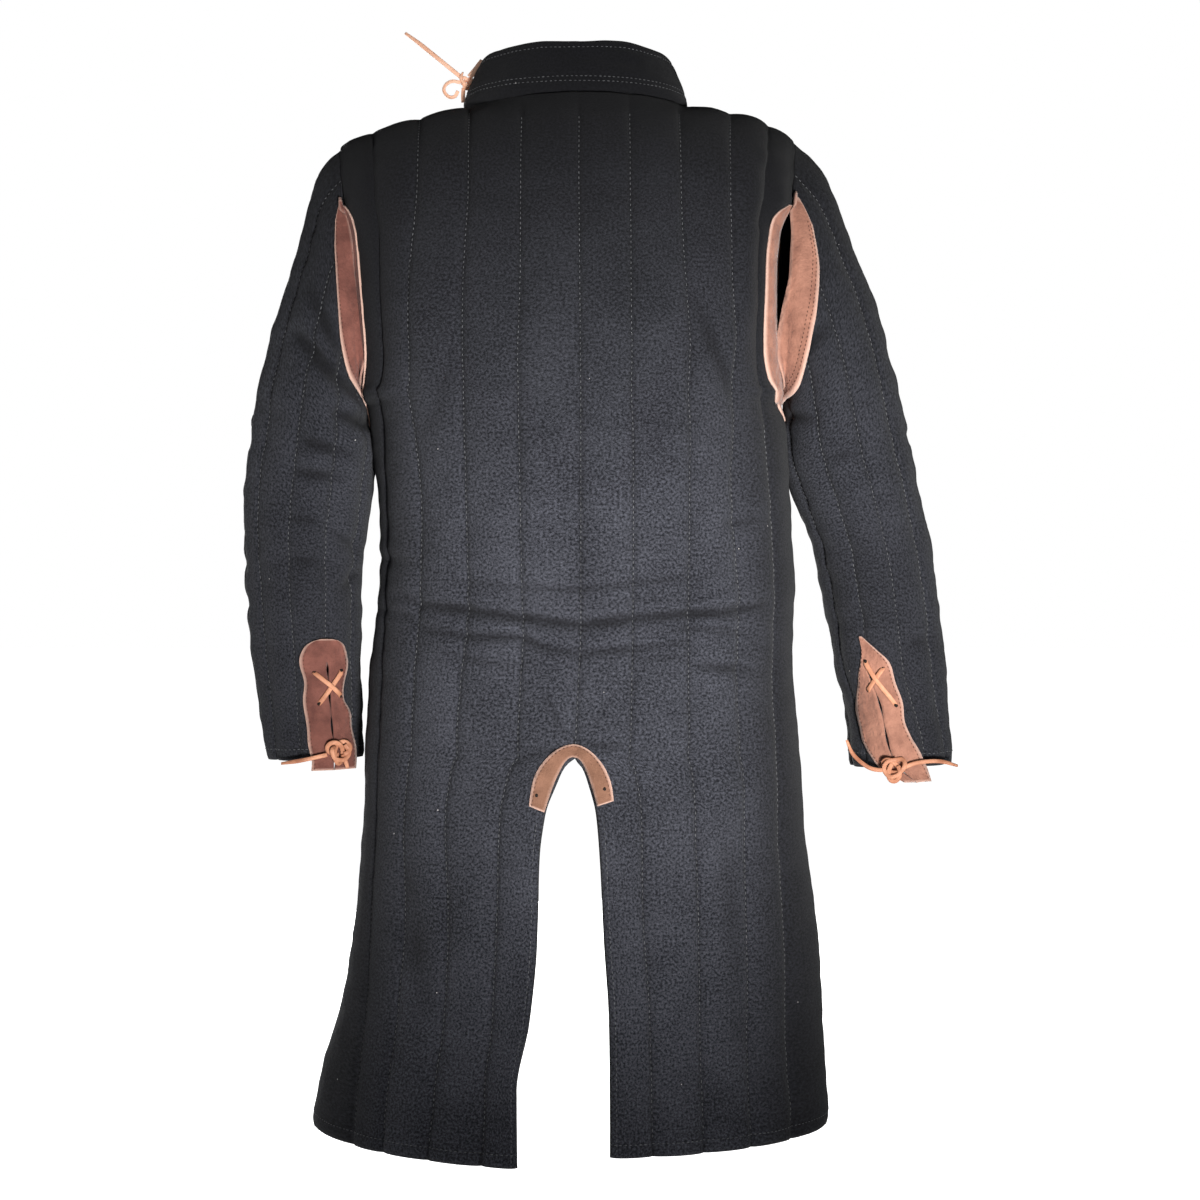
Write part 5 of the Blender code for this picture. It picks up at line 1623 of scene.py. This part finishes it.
def add_thong(mesh, points, width, thick, outward=(0, 1, 0), twist=0.0, taper=0.0):
    """Adds a flattened tube; outward is the way its flat face looks at the start."""
    route = curve_through(points, 0.0014)
    around = 12
    grid = np.zeros((around + 1, len(route), 3))
    for n, place in enumerate(route):
        ahead = (route[min(n + 1, len(route) - 1)] - route[max(n - 1, 0)]).normalized()
        share = n / (len(route) - 1)
        face = Vector(outward)
        face = (face - ahead * face.dot(ahead)).normalized()
        face.rotate(Matrix.Rotation(twist * share, 3, ahead))
        across = ahead.cross(face)
        narrow = 1 - taper * max(0.0, (share - 0.7) / 0.3)
        for k in range(around + 1):
            turn = 2 * math.pi * k / around
            c, s = math.cos(turn), math.sin(turn)
            side_way = math.copysign(abs(c) ** 0.7, c) * width / 2 * narrow
            face_way = math.copysign(abs(s) ** 0.7, s) * thick / 2 * narrow
            grid[k, n] = place + across * side_way + face * face_way
    before = set(mesh.verts)
    add_grid(mesh, grid, uv_of(grid), edges=np.zeros(grid.shape[:2]))
    bmesh.ops.remove_doubles(mesh, verts=[v for v in mesh.verts if v not in before], dist=1e-6)
    bmesh.ops.holes_fill(mesh, edges=[e for e in mesh.edges if e.is_boundary], sides=0)
    return route


def thong_piece(node, *parts):
    """One piece from the parts of a thong, each a route in metres with its width and thickness."""
    mesh = bmesh.new()
    routes = [add_thong(mesh, **part) for part in parts]
    bmesh.ops.recalc_face_normals(mesh, faces=mesh.faces[:])
    # The collar's thongs take the copy that is painted lighter.
    finish = THONG_PAINTED_LIGHTER if node.startswith("collar") else THONG
    piece = finish_piece(node + "_thong", mesh, [finish], node)
    print(node, "faces:", len(piece.data.polygons))
    return piece, routes[0]

# %% Free ends of the thongs
Tail = namedtuple("Tail", "points width thick twist")
TAILS = {
    "cuff_lace_tail_left": Tail([
        (0.2440, 0.0290, -0.6475), (0.2600, 0.0325, -0.6510), (0.2720, 0.0325, -0.6535),
        (0.2889, 0.0310, -0.6560),
    ], 0.0042, 0.0026, 0.5),
    "cuff_lace_tail_right_in": Tail([
        (-0.3020, 0.0380, -0.6620), (-0.2930, 0.0365, -0.6610), (-0.2849, 0.0345, -0.6570),
        (-0.2741, 0.0300, -0.6467), (-0.2681, 0.0280, -0.6330),
    ], 0.0042, 0.0026, 0.6),
    "cuff_lace_tail_right_out": Tail([
        (-0.3235, 0.0390, -0.6590), (-0.3340, 0.0395, -0.6550), (-0.3480, 0.0370, -0.6533),
        (-0.3619, 0.0330, -0.6540), (-0.3777, 0.0270, -0.6585),
    ], 0.0042, 0.0026, -0.6),
    "collar_lace_tail": Tail([
        (0.1130, -0.0020, 0.0275), (0.1285, -0.0020, 0.0400), (0.1420, -0.0020, 0.0510),
        (0.1570, -0.0020, 0.0630), (0.1700, -0.0020, 0.0725),
    ], 0.0044, 0.0028, 0.3),
}
for node, tail in TAILS.items():
    piece, route = thong_piece(node, dict(tail._asdict(), taper=0.35))

# %% [markdown]
# ## Knots and lacing
# A knot is one thong that passes over and under itself, so it is drawn as that: a three-lobed route,
# squashed to the knot's size. The crossed strands on each cuff go down through slots in the leather.

# %% Knots
def knot_route(middle, turn, half, lean=0.0):
    """A three-lobed route whose lobes fill the knot's half-sizes."""
    points = []
    for n in range(37):
        t = 2 * math.pi * (n / 36) * 0.965 + lean
        x = (math.sin(t) + 2 * math.sin(2 * t)) / 3
        z = (math.cos(t) - 2 * math.cos(2 * t)) / 3
        y = -math.sin(3 * t)
        points.append(middle + turn @ Vector((x * half[0], y * half[1], z * half[2])))
    return points


def knot_seat(side, angle, along, half_deep):
    """The middle of a knot that rests on a cuff, and the turn that lays it flat there."""
    point, normal = on_sleeve(side, [angle], along, LEATHER_THICK + 0.0008 + half_deep)
    outward = Vector(normal[0])
    return Vector(point[0]), outward.to_track_quat("Y", "Z").to_matrix()


def bend(place, turn, points, width, thick, taper=0.0):
    """One bend of a knot, whose points are given from the knot's middle."""
    return dict(points=[place + turn @ Vector(p) for p in points], width=width, thick=thick, taper=taper)


KNOT_SUNK = 0.0052
place, turn = knot_seat(1, 121.0, 11.78, KNOT_SUNK)
thong_piece(
    "cuff_lace_knot_left",
    dict(points=knot_route(place, turn, (0.0125, 0.0034, 0.0125)), width=0.0046, thick=0.0024),
    bend(place, turn, [
        (0.004, -0.001, 0.004), (0.009, 0.004, 0.001), (0.006, 0.0045, -0.007),
        (-0.004, 0.0040, -0.0085), (-0.010, 0.003, -0.002), (-0.006, 0.001, 0.006),
    ], 0.0044, 0.0024),
    bend(place, turn, [(-0.004, 0.0, -0.004), (-0.006, 0.0025, -0.010), (-0.0085, 0.0025, -0.0170)],
         0.0044, 0.0022, 0.2),
)

place, turn = knot_seat(-1, 105.0, 11.98, KNOT_SUNK)
thong_piece(
    "cuff_lace_knot_right",
    dict(points=knot_route(place, turn, (0.0118, 0.0034, 0.0128), 0.5), width=0.0046, thick=0.0024),
    bend(place, turn, [
        (-0.003, 0.002, 0.009), (0.006, 0.0045, 0.007), (0.0095, 0.003, -0.001),
        (0.003, 0.0045, -0.008), (-0.006, 0.004, -0.004), (-0.004, 0.002, 0.003),
    ], 0.0044, 0.0024),
)

place, turn = Vector((0.1086, -0.0020, 0.0230)), Matrix.Identity(3)
thong_piece(
    "collar_lace_knot",
    dict(points=knot_route(place, turn, (0.0058, 0.0030, 0.0062)), width=0.0034, thick=0.0020),
    bend(place, turn, [
        (-0.003, 0.003, -0.005), (0.003, 0.004, -0.001), (0.0055, 0.003, 0.004), (0.0035, 0.001, 0.010),
    ], 0.0034, 0.0020, 0.5),
)

# %% Loop and strands at the collar
thong_piece("collar_lace_loop", dict(points=[
    (0.1148, 0.0000, 0.0225), (0.1225, 0.0010, 0.0235), (0.1290, 0.0000, 0.0205),
    (0.1312, -0.0010, 0.0145), (0.1265, -0.0030, 0.0090), (0.1205, -0.0040, 0.0095),
    (0.1175, -0.0050, 0.0150),
], width=0.0036, thick=0.0020, outward=(0.3, 1, 0), twist=0.8))
thong_piece("collar_lace_upper", dict(points=[
    (0.1055, -0.0020, 0.0285), (0.1005, -0.0020, 0.0345), (0.0968, -0.0020, 0.0392),
    (0.0935, -0.0010, 0.0455),
], width=0.0062, thick=0.0022, outward=(0.2, 1, 0), taper=0.5))
thong_piece("collar_lace_lower", dict(points=[
    (0.1115, -0.0020, 0.0175), (0.1120, -0.0020, 0.0120), (0.1120, -0.0020, 0.0080),
    (0.1118, -0.0020, 0.0030),
], width=0.0042, thick=0.0022, outward=(0.2, 1, 0)))

# %% Crossed strands on the cuffs
Strand = namedtuple("Strand", "node side from_angle from_along to_angle to_along over")
STRANDS = table(Strand, [
    ("cuff_lace_cross_left_a", 1, 133.0, 9.95, 107.0, 10.70, 0.0),
    ("cuff_lace_cross_left_b", 1, 104.0, 9.98, 131.0, 10.55, 0.0030),
    ("cuff_lace_cross_right_a", -1, 104.0, 9.90, 124.0, 10.45, 0.0),
    ("cuff_lace_cross_right_b", -1, 121.0, 9.75, 98.0, 10.75, 0.0030),
])


def strand_points(strand):
    """A strand's route over the leather, with both ends sunk in their slots."""
    points = []
    for n in range(13):
        t = n / 12
        angle = strand.from_angle + (strand.to_angle - strand.from_angle) * t
        along = strand.from_along + (strand.to_along - strand.from_along) * t
        sunk = 0.0030 * (math.exp(-t / 0.05) + math.exp(-(1 - t) / 0.05))
        lift = LEATHER_THICK + 0.0026 + strand.over * math.sin(math.pi * t) ** 2 - sunk
        point, normal = on_sleeve(strand.side, [angle], along, lift)
        points.append(Vector(point[0]))
    return points, Vector(normal[0])


for strand in STRANDS:
    points, outward = strand_points(strand)
    # Each slot is a near-black dash of painted shade.
    for end, inner in ((0, 1), (-1, -2)):
        place = Vector(points[end]) + outward * 0.0013
        SLOTS.dash(SLOTS.mesh, place, points[inner] - points[end], outward, 0.0062, 0.0040, 0.0008)
    thong_piece(strand.node, dict(points=points, width=0.0046, thick=0.0020, outward=outward, twist=0.3))

# %% Join the stitches
for sewn in (SEWING, TAN_SEWING, SLOTS):
    sewn.piece()

# %% [markdown]
# ## Floor and light
# The studio is plain. A pale floor lies well below the hem, since the coat is held up by what wears it.
# The key light stands low, at the right of the camera as it looks at the back. It is a narrow pool that
# fades to its rim, so the middle of the back is lightest and the shoulders are darkest. A small light
# picks out the collar's lace, and soft ones fill the front and the side.

# %% Floor: pale as light falls on it, and white to the camera
FLOOR_Z = -1.28
floor_mesh = bmesh.new()
bmesh.ops.create_grid(floor_mesh, x_segments=2, y_segments=2, size=30.0)
bmesh.ops.translate(floor_mesh, verts=floor_mesh.verts[:], vec=(0, 0, FLOOR_Z))
floor_data = bpy.data.meshes.new("floor")
floor_mesh.to_mesh(floor_data)
floor_mesh.free()
floor = bpy.data.objects.new("floor", floor_data)
bpy.context.scene.collection.objects.link(floor)
pale, tree, shader, _ = blank("pale_floor", 0.9, specular=0.0)
set_inputs(shader, {"Base Color": (0.86, 0.86, 0.86, 1.0), "Emission Color": (1.0, 1.0, 1.0, 1.0)})
straight = tree.nodes.new("ShaderNodeLightPath")
tree.links.new(straight.outputs["Is Camera Ray"], shader.inputs["Emission Strength"])
floor_data.materials.append(pale)
floor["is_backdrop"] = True

# %% World: white to the camera, dimmer as light
world = bpy.data.worlds.new("studio")
bpy.context.scene.world = world
world.use_nodes = True
tree = world.node_tree
tree.nodes.clear()
output = tree.nodes.new("ShaderNodeOutputWorld")
mix = tree.nodes.new("ShaderNodeMixShader")
seen = tree.nodes.new("ShaderNodeLightPath")
tree.links.new(seen.outputs["Is Camera Ray"], mix.inputs[0])
for place, (colour, strength) in enumerate((((0.95, 0.97, 1.0, 1.0), 0.07), ((1.0, 1.0, 1.0, 1.0), 1.0))):
    sky = tree.nodes.new("ShaderNodeBackground")
    set_inputs(sky, {"Color": colour, "Strength": strength})
    tree.links.new(sky.outputs[0], mix.inputs[place + 1])
tree.links.new(mix.outputs[0], output.inputs["Surface"])

# %% Lights
def aimed(name, kind, place, aim, power, colour=(1.0, 1.0, 1.0)):
    light = bpy.data.lights.new(name, kind)
    light.energy = power
    light.color = colour
    lamp = bpy.data.objects.new(name, light)
    lamp.location = place
    lamp.rotation_euler = (Vector(aim) - Vector(place)).to_track_quat("-Z", "Y").to_euler()
    bpy.context.scene.collection.objects.link(lamp)
    return light


def soft_spot(light, spread, size):
    """Makes a spot's pool fade smoothly from its middle to its rim."""
    light.spot_size = math.radians(spread)
    light.spot_blend = 1.0
    light.shadow_soft_size = size


key = aimed("key", "SPOT", (-0.60, 2.4, -1.12), (-0.09, 0.10, -0.47), 720.0, (1.0, 0.995, 0.98))
soft_spot(key, 28.0, 0.25)
lace_light = aimed("lace_light", "SPOT", (0.55, 1.5, 0.30), (0.15, 0.0, 0.045), 14.0)
soft_spot(lace_light, 8.0, 0.08)
aimed("fill", "AREA", (-0.3, 2.8, -1.0), (-0.1, 0.0, -0.8), 9.0).size = 1.0
aimed("front_fill", "AREA", (0.9, -2.9, -0.3), (0.0, 0.0, -0.5), 110.0).size = 2.0
aimed("side_fill", "AREA", (3.0, -0.6, -0.2), (0.0, 0.0, -0.5), 25.0).size = 1.5
bpy.context.scene.view_settings.view_transform = "Standard"
bpy.context.scene.view_settings.look = "None"

# %% [markdown]
# ## Sizes, and the end
# The script prints the box of the imported model and the box of the finished coat.

# %% Print the sizes and finish
boxes = {"cad": cad_box, "visual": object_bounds()}
boxes = {name: [list(map(float, corner)) for corner in box] for name, box in boxes.items()}
print(boxes)
